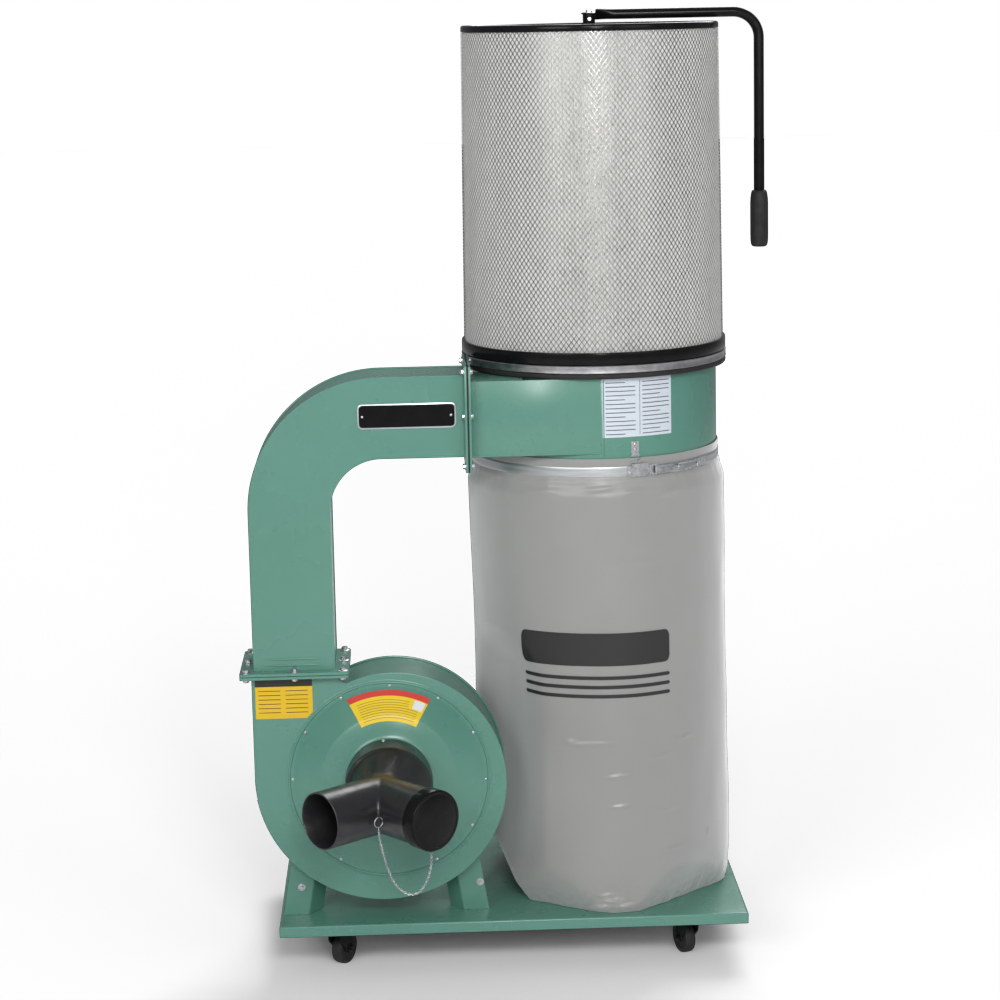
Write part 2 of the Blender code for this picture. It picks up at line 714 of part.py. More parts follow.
def latch():
    """Toggle latch on the band: bracket, lever on its hinge pin, and the wire bail on the lever."""
    middle = (BAND_LOW + BAND_HIGH) / 2
    inner = BAND_RADIUS + GAP
    block_on_drum(
        "latch_bracket", inner, inner + 0.0045, 10.5, 22.0, BAND_LOW - 0.002, BAND_HIGH + 0.006, zinc())
    pivot = around(inner + 0.0050, 23.8, middle)
    lever = block_on_drum(
        "latch_lever", inner + 0.0024, inner + 0.0058, 24.2, 38.5, middle - 0.0085, middle + 0.0085, zinc())
    set_origin(lever, pivot)
    join(lever, cylinder(
        "lever_barrel", 0.0030, pivot - Vector((0, 0, 0.0085)), pivot + Vector((0, 0, 0.0085)), None, 16))
    block_on_drum(
        "latch_hook", inner, inner + 0.0040, 49.5, 59.0, middle - 0.0090, middle + 0.0090, zinc())
    knuckle = around(inner + 0.0090, 35.0, middle)
    hook = around(inner + 0.0068, 47.5, middle)
    rise = Vector((0, 0, 0.0070))
    loop = [knuckle - rise, hook - rise, hook + rise, knuckle + rise]
    set_origin(tube("latch_bail", loop, 0.0012, zinc(), 2, closed=True), knuckle)


def bag_hanger():
    """The riveted tab on the drum that carries the weight of the band."""
    block_on_drum(
        "bag_hanger", DRUM_RADIUS + GAP, DRUM_RADIUS + 0.0022, 12.6, 16.4, HEM_TOP + 0.0010, 1.032, zinc(),
        steps=2)


def bag_radius(angle, z):
    """Distance of the bag's film from the drum's axis, in a direction and at a height.

    The foot is drawn in by its flat seam: straight edges on the left and across the front and back
    corners, which fade out upwards.
    """
    radii = (0.2480, 0.2520, 0.2560, 0.2550, 0.2535, 0.2510, 0.2530, 0.2420, HEM_RADIUS, HEM_RADIUS)
    for i in range(len(BAG_LEVELS) - 1):
        if z <= BAG_LEVELS[i + 1]:
            break
    t = (z - BAG_LEVELS[i]) / (BAG_LEVELS[i + 1] - BAG_LEVELS[i])
    radius = radii[i] + (radii[i + 1] - radii[i]) * t
    for bearing, reach, slope in BAG_FOOT_EDGES:
        facing = math.cos(angle - math.radians(bearing))
        if facing > 0.3:
            radius = min(radius, (reach + slope * (z - BAG_BOTTOM)) / facing)
    if 0.12 < z < 0.66:
        facing = math.cos(angle - math.atan2(-DUCT_DEPTH + 0.023, -0.195))
        if facing > 0.5:
            radius = min(radius, 0.2190 / facing)
    return radius


def dust_bag():
    """The plastic bag as a closed shell, open at the top, flattened where it meets the housing."""
    mesh = bpy.data.meshes.new("dust_bag")
    shape = bmesh.new()

    def ring_of(z, thinner):
        verts = []
        for i in range(ROUND_STEPS):
            angle = 2 * math.pi * i / ROUND_STEPS
            radius = bag_radius(angle, z) - thinner
            shift = 0.006 * math.sin(math.pi * min(1.0, max(0.0, (HEM_TOP - z - 0.035) / 0.5)) / 2)
            height = z + BAG_WALL if thinner and z == BAG_BOTTOM else z
            x, y = radius * math.cos(angle) + shift, radius * math.sin(angle)
            verts.append(shape.verts.new((x, y, height)))
        return verts

    outside = [ring_of(z, 0.0) for z in BAG_LEVELS]
    film = [BAG_WALL if z < 0.962 else 0.0013 for z in BAG_LEVELS]
    inside = [ring_of(z, thinner) for z, thinner in zip(BAG_LEVELS, film)]
    loops = list(reversed(inside)) + outside
    for row, following in zip(loops[:len(BAG_LEVELS)], loops[1:len(BAG_LEVELS)]):
        bridge(shape, row, following)
    for row, following in zip(outside, outside[1:]):
        bridge(shape, row, following)
    bridge(shape, outside[-1], inside[-1])
    shape.faces.new(inside[0])
    shape.faces.new(outside[0])
    bmesh.ops.recalc_face_normals(shape, faces=shape.faces)
    shape.to_mesh(mesh)
    shape.free()
    add("dust_bag", mesh, finish("bag_film", (0.42, 0.41, 0.38), 0.35))


def bridge(shape, row, following):
    count = len(row)
    for i in range(count):
        j = (i + 1) % count
        shape.faces.new((row[i], row[j], following[j], following[i]))


# ---------------------------------------------------------------- filter canister


def canister():
    """Gasket, clamp ring, base ring, mesh cage, pleated filter and lid."""
    gasket_top = CANISTER_BASE + 0.0085
    ring("canister_gasket", 0.2100, RING_RADIUS - 0.0008, CANISTER_BASE, gasket_top, black_rubber())
    band_top = 1.1804
    ring("canister_band", 0.2532, RING_RADIUS, gasket_top + GAP, band_top, zinc())
    low = CANISTER_BASE + 0.0085 + GAP
    profile = [(RING_RADIUS - 0.0010, CAGE_LOW - GAP), (RING_RADIUS - 0.0010, band_top + GAP),
               (0.2528, band_top + GAP), (0.2528, low), (0.2100, low), (0.2100, low + 0.002),
               (0.2505, low + 0.002), (0.2505, CAGE_LOW - GAP)]
    turned("canister_base", profile, black_paint())
    wall = 0.0012
    profile = [(CAGE_RADIUS_HIGH, CAGE_HIGH - GAP), (CAGE_RADIUS_LOW, CAGE_LOW),
               (CAGE_RADIUS_LOW - wall, CAGE_LOW), (CAGE_RADIUS_HIGH - wall, CAGE_HIGH - GAP)]
    turned("filter_cage", profile, finish("cage_mesh", (0.62, 0.63, 0.64), 0.35, 1.0))
    panel, rim = LID_TOP - 0.004, 0.2340
    profile = [(0, panel), (rim + 0.001, panel), (rim + 0.0045, LID_TOP), (CAGE_RADIUS_HIGH, LID_TOP),
               (CAGE_RADIUS_HIGH, CAGE_HIGH), (rim, CAGE_HIGH), (rim, panel - 0.002), (0, panel - 0.002)]
    lid = turned("canister_lid", profile, black_paint())
    cut(lid, cylinder("lid_hole", 0.0095, (0, 0, LID_TOP - 0.02), (0, 0, LID_TOP + 0.02), None, SMALL_STEPS))


def filter_pleats():
    """The pleated filter sleeve inside the cage."""
    outer, inner, film = 0.2420, 0.2060, 0.0016
    low, high = CANISTER_BASE + 0.014, CAGE_HIGH - 0.001
    outside, inside = [], []
    for i in range(2 * PLEAT_COUNT):
        radius = outer if i % 2 == 0 else inner + film
        bearing = 180 / PLEAT_COUNT * i
        outside.append(polar(radius, bearing))
        inside.append(polar(radius - (film if i % 2 else 0.0095), bearing))
    mesh = bpy.data.meshes.new("filter_pleats")
    shape = bmesh.new()
    loops = []
    for points, z in ((outside, low), (outside, high), (inside, high), (inside, low)):
        loops.append([shape.verts.new((x, y, z)) for x, y in points])
    for i in range(4):
        bridge(shape, loops[i], loops[(i + 1) % 4])
    bmesh.ops.recalc_face_normals(shape, faces=shape.faces)
    shape.to_mesh(mesh)
    shape.free()
    add("filter_pleats", mesh, finish("filter_media", (0.80, 0.79, 0.74), 0.9))


def agitator():
    """Crank, shaft and the beater frame that knocks dust from inside of the pleats."""
    hub_low, hub_high = LID_TOP - 0.004 + GAP, 1.8290
    turned("crank_hub", [(0, hub_high + 0.0015), (HUB_RADIUS, hub_high + 0.0015), (HUB_RADIUS, hub_low),
                         (SHAFT_RADIUS + GAP, hub_low), (SHAFT_RADIUS + GAP, hub_high - 0.004),
                         (0, hub_high - 0.004)], black_paint(), 28)
    arm = [Vector((HUB_RADIUS + GAP, 0, ARM_Z))]
    for i in range(9):
        across, up = polar(ARM_BEND, 90 - 90 * i / 8)
        arm.append(Vector((ARM_REACH - ARM_BEND + across, 0, ARM_Z - ARM_BEND + up)))
    arm.append(Vector((ARM_REACH, 0, GRIP_LOW + 0.004)))
    arm_tube = tube("crank_arm", arm, ARM_TUBE, black_paint(), 4)
    below_grip = GRIP_HIGH + 0.0006
    cut(arm_tube, box(
        "arm_below", (ARM_REACH - 0.02, -0.02, GRIP_LOW - 0.02), (ARM_REACH + 0.02, 0.02, below_grip), None,
        group=cutters))
    join(arm_tube, cylinder(
        "grip_spindle", SPINDLE_RADIUS, (ARM_REACH, 0, GRIP_LOW + 0.006),
        (ARM_REACH, 0, below_grip + 0.004), None, 20))
    crank_grip()
    shaft_low = CANISTER_BASE + 0.030
    cylinder(
        "agitator_shaft", SHAFT_RADIUS, (0, 0, shaft_low), (0, 0, hub_high - 0.0045), zinc(), SHAFT_STEPS)
    beater_frame(shaft_low)
    spider(shaft_low)


def crank_grip():
    """The grip is bored from above and closed at its lower end."""
    bore = SPINDLE_RADIUS + GAP
    floor = GRIP_LOW + 0.005
    profile = [(0, floor), (bore, floor), (bore, GRIP_HIGH), (0.0120, GRIP_HIGH), (0.0145, GRIP_HIGH - 0.004),
               (GRIP_RADIUS, GRIP_HIGH - 0.020), (GRIP_RADIUS, GRIP_LOW + 0.014), (0.0150, GRIP_LOW + 0.003),
               (0.0110, GRIP_LOW), (0, GRIP_LOW)]
    turned("crank_grip", profile, black_rubber(), 24, (ARM_REACH, 0, 0))


def beater_frame(shaft_low):
    """Two flat beaters on cross arms that clamp round the shaft."""
    low, high = shaft_low + 0.060, 1.740
    reach, blade = 0.190, 0.0105
    frame = cylinder(
        "beater_frame", SHAFT_RADIUS + 0.004, (0, 0, low), (0, 0, high), steel(), SHAFT_STEPS)
    for name, z in (("lower", low + 0.020), ("upper", high - 0.020)):
        join(frame, box(
            "beater_arm_" + name, (-reach + 0.005, -0.0015, z - 0.010), (reach - 0.005, 0.0015, z + 0.010),
            None))
    for side in (-1, 1):
        join(frame, box(
            "beater_blade" + str(side), (side * reach - blade, -0.0040, low + 0.005),
            (side * reach + blade, 0.0040, high - 0.005), None))
    cut(frame, cylinder(
        "beater_bore", SHAFT_RADIUS + 0.0003, (0, 0, low - 0.01), (0, 0, high + 0.01), None, SHAFT_STEPS))


def spider(shaft_low):
    """The cross bar at the foot of the filter that holds the lower end of the shaft."""
    z = shaft_low - 0.008
    bar = box("shaft_spider", (-0.2040, -0.0150, z - 0.0015), (0.2040, 0.0150, z + 0.0015), zinc())
    join(bar, cylinder("spider_boss", 0.0165, (0, 0, z - 0.001), (0, 0, z + 0.022), None, SHAFT_STEPS))
    cut(bar, cylinder(
        "spider_bore", SHAFT_RADIUS + GAP, (0, 0, z + 0.0065), (0, 0, z + 0.03), None, SHAFT_STEPS))


# ---------------------------------------------------------------- motor and rotor


def along_fan(radius, front, back, name, material, steps=32, end_radius=None, group=None):
    return cylinder(
        name, radius, (FAN_X, front, FAN_Z), (FAN_X, back, FAN_Z), material, steps, end_radius, group)


def motor():
    """Totally enclosed motor: face flange, shell with its end shield, cowl, boxes and gland."""
    face = along_fan(FLANGE_RADIUS, BACK_Y + GAP, BACK_Y + 0.0155, "motor_flange", green_paint(), ROUND_STEPS)
    cut(face, along_fan(
        0.0215, BACK_Y - 0.01, BACK_Y + 0.0060, "motor_flange_pocket", None, SMALL_STEPS, group=cutters))
    cut(face, along_fan(
        SHAFT_SIZE + GAP, BACK_Y - 0.01, BACK_Y + 0.03, "motor_flange_bore", None, SHAFT_STEPS,
        group=cutters))
    shell = along_fan(MOTOR_RADIUS, MOTOR_START, MOTOR_END, "motor_shell", black_paint(), ROUND_STEPS)
    cut(shell, along_fan(
        SHAFT_SIZE + GAP, MOTOR_START - 0.01, MOTOR_END + 0.01, "motor_shell_bore", None, SHAFT_STEPS,
        group=cutters))
    wall = 0.002
    outer, length, corner = MOTOR_RADIUS - 0.001, COWL_END - MOTOR_END, 0.006
    profile = [(COWL_MOUTH, length), (outer - corner, length), (outer, length - corner), (outer, GAP),
               (outer - wall, GAP), (outer - wall, length - corner), (outer - corner, length - wall),
               (COWL_MOUTH, length - wall)]
    turned("fan_cowl", profile, black_paint(), 30, (FAN_X, MOTOR_END, FAN_Z), towards((0, 1, 0)))
    switch_box()
    capacitor()


def switch_box():
    """The switch box on the motor's right side, with its two buttons and the cable gland."""
    left = FAN_X + MOTOR_RADIUS + 0.0006
    low = (left, -0.030, FAN_Z - 0.050)
    high = (left + 0.046, 0.062, FAN_Z + 0.040)
    item = box("switch_box", low, high, black_plastic(), bevel=0.003)
    middle_y = (low[1] + high[1]) / 2
    for name, z, colour in (("start_button", FAN_Z + 0.018, (0.03, 0.30, 0.10)),
                            ("stop_button", FAN_Z - 0.022, (0.55, 0.03, 0.02))):
        cut(item, cylinder(
            name + "_well", 0.0115, (high[0] - 0.009, middle_y, z), (high[0] + 0.01, middle_y, z), None, 24,
            group=cutters))
        cylinder(
            name, 0.0110, (high[0] - 0.0045, middle_y, z), (high[0] + 0.0035, middle_y, z),
            finish(name, colour, 0.4), 24)
    gland_top = low[2] - GAP
    profile = [(0, 0), (0.0105, 0), (0.0105, -0.009), (0.0080, -0.010), (0.0075, -0.022), (0.0045, -0.024),
               (0.0040, -0.012), (0, -0.012)]
    turned("cable_gland", profile, black_plastic(), 12, ((low[0] + high[0]) / 2, middle_y, gland_top))


def capacitor():
    """The capacitor under its pressed cover on the motor's left side."""
    x = FAN_X - MOTOR_RADIUS - 0.0240
    cylinder(
        "capacitor_cover", 0.0230, (x, -0.040, FAN_Z + 0.004), (x, 0.060, FAN_Z + 0.004), black_paint(), 28)


def rotor():
    """Shaft with the fan wheel in the housing and the cooling fan under the cowl."""
    wheel_front, wheel_back = FRONT_Y + 0.040, BACK_Y - 0.012
    bore = SHAFT_SIZE + 0.0003
    along_fan(SHAFT_SIZE, wheel_back - 0.050, MOTOR_END + 0.034, "motor_shaft", steel(), SHAFT_STEPS)
    blower = along_fan(
        IMPELLER_RADIUS, wheel_back - 0.003, wheel_back, "impeller",
        finish("impeller", (0.25, 0.25, 0.26), 0.5, 0.9), ROUND_STEPS)
    join(blower, along_fan(
        0.0240, wheel_back - 0.048, wheel_back - 0.001, "impeller_hub", None, SHAFT_STEPS))
    half_depth = (wheel_back - wheel_front - 0.004) / 2
    for i in range(IMPELLER_BLADES):
        blade = box(
            "impeller_blade" + str(i), (-0.0015, -half_depth, 0.024),
            (0.0015, half_depth, IMPELLER_RADIUS - 0.004), None)
        spin = Matrix.Rotation(math.radians(360 / IMPELLER_BLADES * i), 4, "Y")
        place = Matrix.Translation((FAN_X, (wheel_front + wheel_back) / 2, FAN_Z))
        blade.data.transform(place @ spin @ Matrix.Translation(blade.location))
        blade.location = (0, 0, 0)
        join(blower, blade)
    cut(blower, along_fan(
        bore, wheel_back - 0.060, wheel_back + 0.01, "impeller_bore", None, SHAFT_STEPS, group=cutters))
    fan = along_fan(0.0600, MOTOR_END + 0.010, MOTOR_END + 0.013, "cooling_fan", black_plastic(), 24)
    for i in range(6):
        vane = box("cooling_vane" + str(i), (-0.001, -0.010, -0.018), (0.001, 0.010, 0.018), None)
        spin = Matrix.Rotation(math.radians(60 * i), 4, "Y")
        centre = Matrix.Translation((FAN_X, MOTOR_END + 0.022, FAN_Z))
        vane.data.transform(centre @ spin @ Matrix.Translation((0, 0, 0.040)))
        join(fan, vane)
    join(fan, along_fan(0.0160, MOTOR_END + 0.011, MOTOR_END + 0.032, "cooling_hub", None, SHAFT_STEPS))
    cut(fan, along_fan(bore, MOTOR_END, MOTOR_END + 0.05, "cooling_bore", None, SHAFT_STEPS, group=cutters))


def nameplate():
    """A blank plate riveted to the front of the duct."""
    y = FRONT_Y - GAP
    box("nameplate", (-0.4620, y - 0.0012, 1.0680), (-0.2770, y, 1.1155), finish(
        "nameplate", (0.03, 0.03, 0.03), 0.3, 0.5))


def footprint_middle():
    """Middle of the box round the machine, at floor height: duct to crank, and cap to base plate."""
    left = duct_sides()[0] - FLANGE_WIDTH
    right = ARM_REACH + GRIP_RADIUS
    way = port_way(1)
    mouth = connector_point(PORT_JUNCTION) + way * PORT_LENGTH
    front = mouth.y + way.y * (CAP_FACE + GAP - 0.001) - way.x * CAP_RADIUS
    return Vector(((left + right) / 2, (front + PLATE_HALF_DEPTH) / 2, 0))


def build():
    global parts, cutters, root
    clear_scene()
    scene = bpy.context.scene
    parts = bpy.data.collections.new("dust_collector")
    cutters = bpy.data.collections.new("dust_collector_cutters")
    scene.collection.children.link(parts)
    scene.collection.children.link(cutters)
    root = bpy.data.objects.new("machine", None)
    parts.objects.link(root)
    base_plate()
    casters()
    leg("left_leg", -1)
    leg("right_leg", 1)
    motor_stand()
    fan_housing()
    inlet_cover()
    y_connector()
    port_cap()
    chain_eye()
    cap_chain()
    elbow_duct()
    duct_gaskets()
    nameplate()
    drum()
    posts()
    band()
    latch()
    bag_hanger()
    dust_bag()
    canister()
    filter_pleats()
    agitator()
    motor()
    rotor()
    root.location = -footprint_middle()


build()
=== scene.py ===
"""The looks of the dust collector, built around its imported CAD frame. Metres, +Z up.

Points are given in the machine's own frame, whose origin is the drum's axis at floor height; at()
moves them to the row's frame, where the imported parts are.
"""

import math

import bmesh
import bpy
from mathutils import Matrix, Vector, noise


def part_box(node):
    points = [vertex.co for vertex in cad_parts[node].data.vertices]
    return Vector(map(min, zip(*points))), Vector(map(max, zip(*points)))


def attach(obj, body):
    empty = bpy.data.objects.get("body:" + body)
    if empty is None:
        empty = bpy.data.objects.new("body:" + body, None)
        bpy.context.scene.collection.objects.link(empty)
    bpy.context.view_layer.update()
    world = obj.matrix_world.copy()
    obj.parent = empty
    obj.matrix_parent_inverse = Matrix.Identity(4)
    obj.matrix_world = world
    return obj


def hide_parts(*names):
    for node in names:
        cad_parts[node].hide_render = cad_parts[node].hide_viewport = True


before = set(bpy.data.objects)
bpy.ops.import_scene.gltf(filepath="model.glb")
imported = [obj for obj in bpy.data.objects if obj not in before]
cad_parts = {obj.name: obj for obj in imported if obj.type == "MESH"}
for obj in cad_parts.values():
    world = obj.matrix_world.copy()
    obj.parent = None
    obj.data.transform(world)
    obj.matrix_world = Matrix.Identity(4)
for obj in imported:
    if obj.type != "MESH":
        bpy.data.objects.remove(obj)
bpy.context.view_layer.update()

lid_low, lid_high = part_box("canister_lid")
AXIS = Vector(((lid_low[0] + lid_high[0]) / 2, (lid_low[1] + lid_high[1]) / 2, 0))

# Driving sizes, as in the CAD model
PLATE_LEFT, PLATE_RIGHT, PLATE_HALF, PLATE_TOP, PLATE_LIP = -0.640, 0.268, 0.267, 0.104, 0.021
FAN_X, FAN_Z = -0.421, 0.3865
FRONT_Y, BACK_Y = -0.239, -0.108
CUTOFF_RADIUS, CUTOFF_ANGLE, VOLUTE_GROWTH, VOLUTE_STEP = 0.2058, -21.0, 0.00018, 3.0
OUTLET_TOP = 0.5995
COVER_RADIUS, COVER_THROAT = 0.197, 0.0765
DUCT_RIGHT, DUCT_LEFT = -0.5175, -0.6735
ELBOW_X, ELBOW_Z, ELBOW_INNER, ELBOW_OUTER = -0.4195, 0.912, 0.098, 0.254
FLANGE_WIDTH, FLANGE = 0.0255, 0.0045
DRUM_RADIUS, DRUM_BOTTOM, DRUM_TOP = 0.2390, 0.952, 1.1538
INLET_FACE_X = -0.2530
DUCT_END_X = -0.2560
BAND_RADIUS, BAND_LOW, BAND_HIGH, HEM_TOP = 0.2428, 0.9655, 0.9840, 1.0000
CAGE_LOW, CAGE_HIGH, CAGE_RADIUS_LOW, CAGE_RADIUS_HIGH = 1.2043, 1.7978, 0.2535, 0.2480
RING_RADIUS = 0.2588
LID_TOP = 1.8100
ARM_REACH, ARM_Z, ARM_TUBE, ARM_BEND = 0.328, 1.8265, 0.0100, 0.050
GRIP_LOW, GRIP_HIGH, GRIP_RADIUS = 1.373, 1.482, 0.0169
COLLAR_RADIUS, COLLAR_LENGTH = 0.084, 0.075
PORT_RADIUS, PORT_WALL, PORT_JUNCTION, PORT_LENGTH = 0.0535, 0.003, 0.155, 0.1485
PORT_ANGLE, PORT_SKEW = 45.0, 4.5
MOTOR_RADIUS, MOTOR_START, MOTOR_END, COWL_END = 0.0780, -0.092, 0.118, 0.176
GRILLE_WIRE = 0.0013
FINE_STEPS = 160  # facets round the drum and the canister
WHEEL_RADIUS, WHEEL_WIDTH = 0.0315, 0.021
CASTER_PLATE_TOP, CASTER_TRAIL = 0.1006, 0.022
CASTERS = {
    "front_left": (-0.530, -0.205, -30),
    "front_right": (0.158, -0.205, 200),
    "rear_left": (-0.530, 0.205, 35),
    "rear_right": (0.158, 0.205, 160)}


def at(x, y, z):
    """A point of the machine in the row's frame."""
    return Vector((x, y, z)) + AXIS


def polar(radius, degrees):
    """The two coordinates of a point on a circle."""
    angle = math.radians(degrees)
    return radius * math.cos(angle), radius * math.sin(angle)


def about_fan(radius, degrees, y):
    """A point about the fan's axis; degrees are counted from the right towards the top."""
    across, up = polar(radius, degrees)
    return at(FAN_X + across, y, FAN_Z + up)


ON_DRUM_AXIS = Matrix.Translation(AXIS)


# ---------------------------------------------------------------- materials


def new_material(name, colour, roughness, metallic=0.0):
    made = bpy.data.materials.new(name)
    made.use_nodes = True
    set_shader(made, Base_Color=(*colour, 1.0), Roughness=roughness, Metallic=metallic)
    return made


def noise_node(made, scale, detail=2.0, stretch=(1, 1, 1)):
    """A noise texture in the object's own coordinates, stretched along each axis."""
    tree = made.node_tree
    place = tree.nodes.new("ShaderNodeTexCoord")
    mapping = tree.nodes.new("ShaderNodeMapping")
    mapping.inputs["Scale"].default_value = stretch
    texture = tree.nodes.new("ShaderNodeTexNoise")
    texture.inputs["Scale"].default_value = scale
    texture.inputs["Detail"].default_value = detail
    tree.links.new(place.outputs["Object"], mapping.inputs["Vector"])
    tree.links.new(mapping.outputs["Vector"], texture.inputs["Vector"])
    return texture


def mottle(made, scale, dark, light, stretch=(1, 1, 1)):
    """Lets the colour drift between two shades."""
    tree = made.node_tree
    ramp = tree.nodes.new("ShaderNodeValToRGB")
    ramp.color_ramp.elements[0].position = 0.3
    ramp.color_ramp.elements[0].color = (*dark, 1.0)
    ramp.color_ramp.elements[1].position = 0.7
    ramp.color_ramp.elements[1].color = (*light, 1.0)
    tree.links.new(noise_node(made, scale, 3.0, stretch).outputs["Fac"], ramp.inputs["Fac"])
    tree.links.new(ramp.outputs["Color"], tree.nodes["Principled BSDF"].inputs["Base Color"])


def map_range(tree, source, taken, given):
    """The result of a node that carries one pair of limits to another."""
    node = tree.nodes.new("ShaderNodeMapRange")
    for name, value in zip(("From Min", "From Max", "To Min", "To Max"), (*taken, *given)):
        node.inputs[name].default_value = value
    tree.links.new(source, node.inputs["Value"])
    return node.outputs["Result"]


def vary_roughness(made, scale, low, high, stretch=(1, 1, 1)):
    """Lets the roughness drift between two values."""
    tree = made.node_tree
    grain = noise_node(made, scale, 4.0, stretch).outputs["Fac"]
    spread = map_range(tree, grain, (0.3, 0.7), (low, high))
    tree.links.new(spread, tree.nodes["Principled BSDF"].inputs["Roughness"])


def set_shader(made, **values):
    """Sets the shader's own sockets; an underscore in a name stands for a space."""
    for name, value in values.items():
        made.node_tree.nodes["Principled BSDF"].inputs[name.replace("_", " ")].default_value = value


def roughen(made, scale, distance, strength=1.0, stretch=(1, 1, 1)):
    """A fine bump, such as orange peel, moulded grain or brushing."""
    tree = made.node_tree
    bump = tree.nodes.new("ShaderNodeBump")
    bump.inputs["Distance"].default_value = distance
    bump.inputs["Strength"].default_value = strength
    tree.links.new(noise_node(made, scale, 2.0, stretch).outputs["Fac"], bump.inputs["Height"])
    tree.links.new(bump.outputs["Normal"], tree.nodes["Principled BSDF"].inputs["Normal"])


def green_paint():
    made = new_material("green_enamel", (0.100, 0.262, 0.200), 0.28)
    mottle(made, 2.6, (0.090, 0.240, 0.183), (0.102, 0.264, 0.203))
    vary_roughness(made, 9.0, 0.24, 0.32)
    roughen(made, 420.0, 0.0003, 0.15)
    set_shader(made, Coat_Weight=0.15, Coat_Roughness=0.18)
    return made


def moulded_black():
    made = new_material("moulded_black", (0.012, 0.012, 0.013), 0.32)
    mottle(made, 30.0, (0.010, 0.010, 0.011), (0.015, 0.015, 0.016))
    vary_roughness(made, 45.0, 0.26, 0.38)
    roughen(made, 900.0, 0.0002, 0.5)
    set_shader(made, Specular_IOR_Level=0.65)
    return made


def black_enamel():
    made = new_material("black_enamel", (0.006, 0.006, 0.0065), 0.18)
    mottle(made, 40.0, (0.005, 0.005, 0.0055), (0.008, 0.008, 0.0085))
    vary_roughness(made, 25.0, 0.14, 0.22)
    roughen(made, 500.0, 0.0002, 0.25)
    set_shader(made, Specular_IOR_Level=0.15)
    return made


def rubber():
    made = new_material("rubber", (0.010, 0.010, 0.010), 0.8)
    mottle(made, 70.0, (0.008, 0.008, 0.008), (0.014, 0.014, 0.0135))
    vary_roughness(made, 60.0, 0.6, 0.85)
    roughen(made, 1200.0, 0.0003, 0.6)
    return made


def zinc_plate():
    made = new_material("zinc_plate", (0.60, 0.61, 0.63), 0.30, 1.0)
    mottle(made, 60.0, (0.52, 0.53, 0.55), (0.68, 0.69, 0.70))
    vary_roughness(made, 140.0, 0.20, 0.40)
    roughen(made, 700.0, 0.0001, 0.4)
    return made


def brushed_strap():
    made = new_material("brushed_strap", (0.58, 0.60, 0.61), 0.36, 1.0)
    mottle(made, 10.0, (0.48, 0.50, 0.51), (0.66, 0.68, 0.69), (1, 1, 60))
    vary_roughness(made, 14.0, 0.28, 0.46, (1, 1, 80))
    roughen(made, 20.0, 0.0002, 0.4, (1, 1, 90))
    return made


def cage_metal():
    made = new_material("expanded_mesh", (0.34, 0.34, 0.33), 0.22, 1.0)
    mottle(made, 30.0, (0.29, 0.29, 0.28), (0.39, 0.39, 0.38))
    vary_roughness(made, 80.0, 0.24, 0.36)
    return made


def pleated_media():
    made = new_material("pleated_media", (0.82, 0.82, 0.80), 0.85)
    mottle(made, 25.0, (0.79, 0.79, 0.77), (0.85, 0.85, 0.83), (1, 1, 0.2))
    roughen(made, 900.0, 0.0003, 0.5)
    return made


def bag_plastic():
    made = new_material("bag_plastic", (0.27, 0.272, 0.262), 0.30)
    mottle(made, 5.0, (0.258, 0.260, 0.250), (0.284, 0.286, 0.276), (1, 1, 0.6))
    set_shader(made, Sheen_Weight=0.9, Sheen_Roughness=0.55)
    vary_roughness(made, 6.0, 0.27, 0.35)
    roughen(made, 30.0, 0.0004, 0.20, (1, 1, 0.5))
    return made


def machined_steel():
    made = new_material("machined_steel", (0.42, 0.42, 0.43), 0.35, 1.0)
    mottle(made, 90.0, (0.36, 0.36, 0.37), (0.48, 0.48, 0.49))
    vary_roughness(made, 60.0, 0.28, 0.45)
    return made


def printed(name, colour):
    """A printed vinyl label, with a faint unevenness in its sheen."""
    made = new_material(name, colour, 0.35)
    vary_roughness(made, 40.0, 0.28, 0.42)
    return made


def button_plastic(name, colour):
    made = new_material(name, colour, 0.3)
    vary_roughness(made, 90.0, 0.22, 0.38)
    return made


GREEN = green_paint()
PLASTIC = moulded_black()
BLACK = black_enamel()
RUBBER = rubber()
ZINC = zinc_plate()
STRAP = brushed_strap()
CAGE = cage_metal()
MEDIA = pleated_media()
FILM = bag_plastic()
STEEL = machined_steel()


# ---------------------------------------------------------------- mesh helpers


def piece(name, shape, material, slot, body="frame", replaces=(), sharp=35):
    """Turns a bmesh in the row's frame into a piece that rides on a body."""
    bmesh.ops.recalc_face_normals(shape, faces=shape.faces)
    mesh = bpy.data.meshes.new(name)
    shape.to_mesh(mesh)
    shape.free()
    mesh.materials.append(material)
    mesh.shade_smooth()
    mesh.set_sharp_from_angle(angle=math.radians(sharp))
    item = bpy.data.objects.new(name, mesh)
    bpy.context.scene.collection.objects.link(item)
    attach(item, body)
    if replaces:
        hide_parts(*replaces)
    return item


def bridge(shape, rows, looped=True):
    """Faces between each row of vertices and the next one; looped rows are closed rings."""
    for row, beyond in zip(rows, rows[1:]):
        count = len(row)
        for i in range(count if looped else count - 1):
            j = (i + 1) % count
            shape.faces.new((row[i], row[j], beyond[j], beyond[i]))


def oval(centre, wide, tall, count):
    """Points round a centre, along two half axes."""
    points = []
    for i in range(count):
        across, up = polar(1.0, 360 * i / count)
        points.append(centre + wide * across + tall * up)
    return points


def turn_to(direction, origin):
    """A placement whose +Z points in this direction."""
    way = Vector(direction).normalized()
    return Matrix.Translation(origin) @ Vector((0, 0, 1)).rotation_difference(way).to_matrix().to_4x4()


def face_front(x, y, z):
    """A placement whose +X is to the right, +Y up and +Z towards the operator."""
    return Matrix.Translation(at(x, y, z)) @ Matrix.Rotation(math.radians(90), 4, "X")


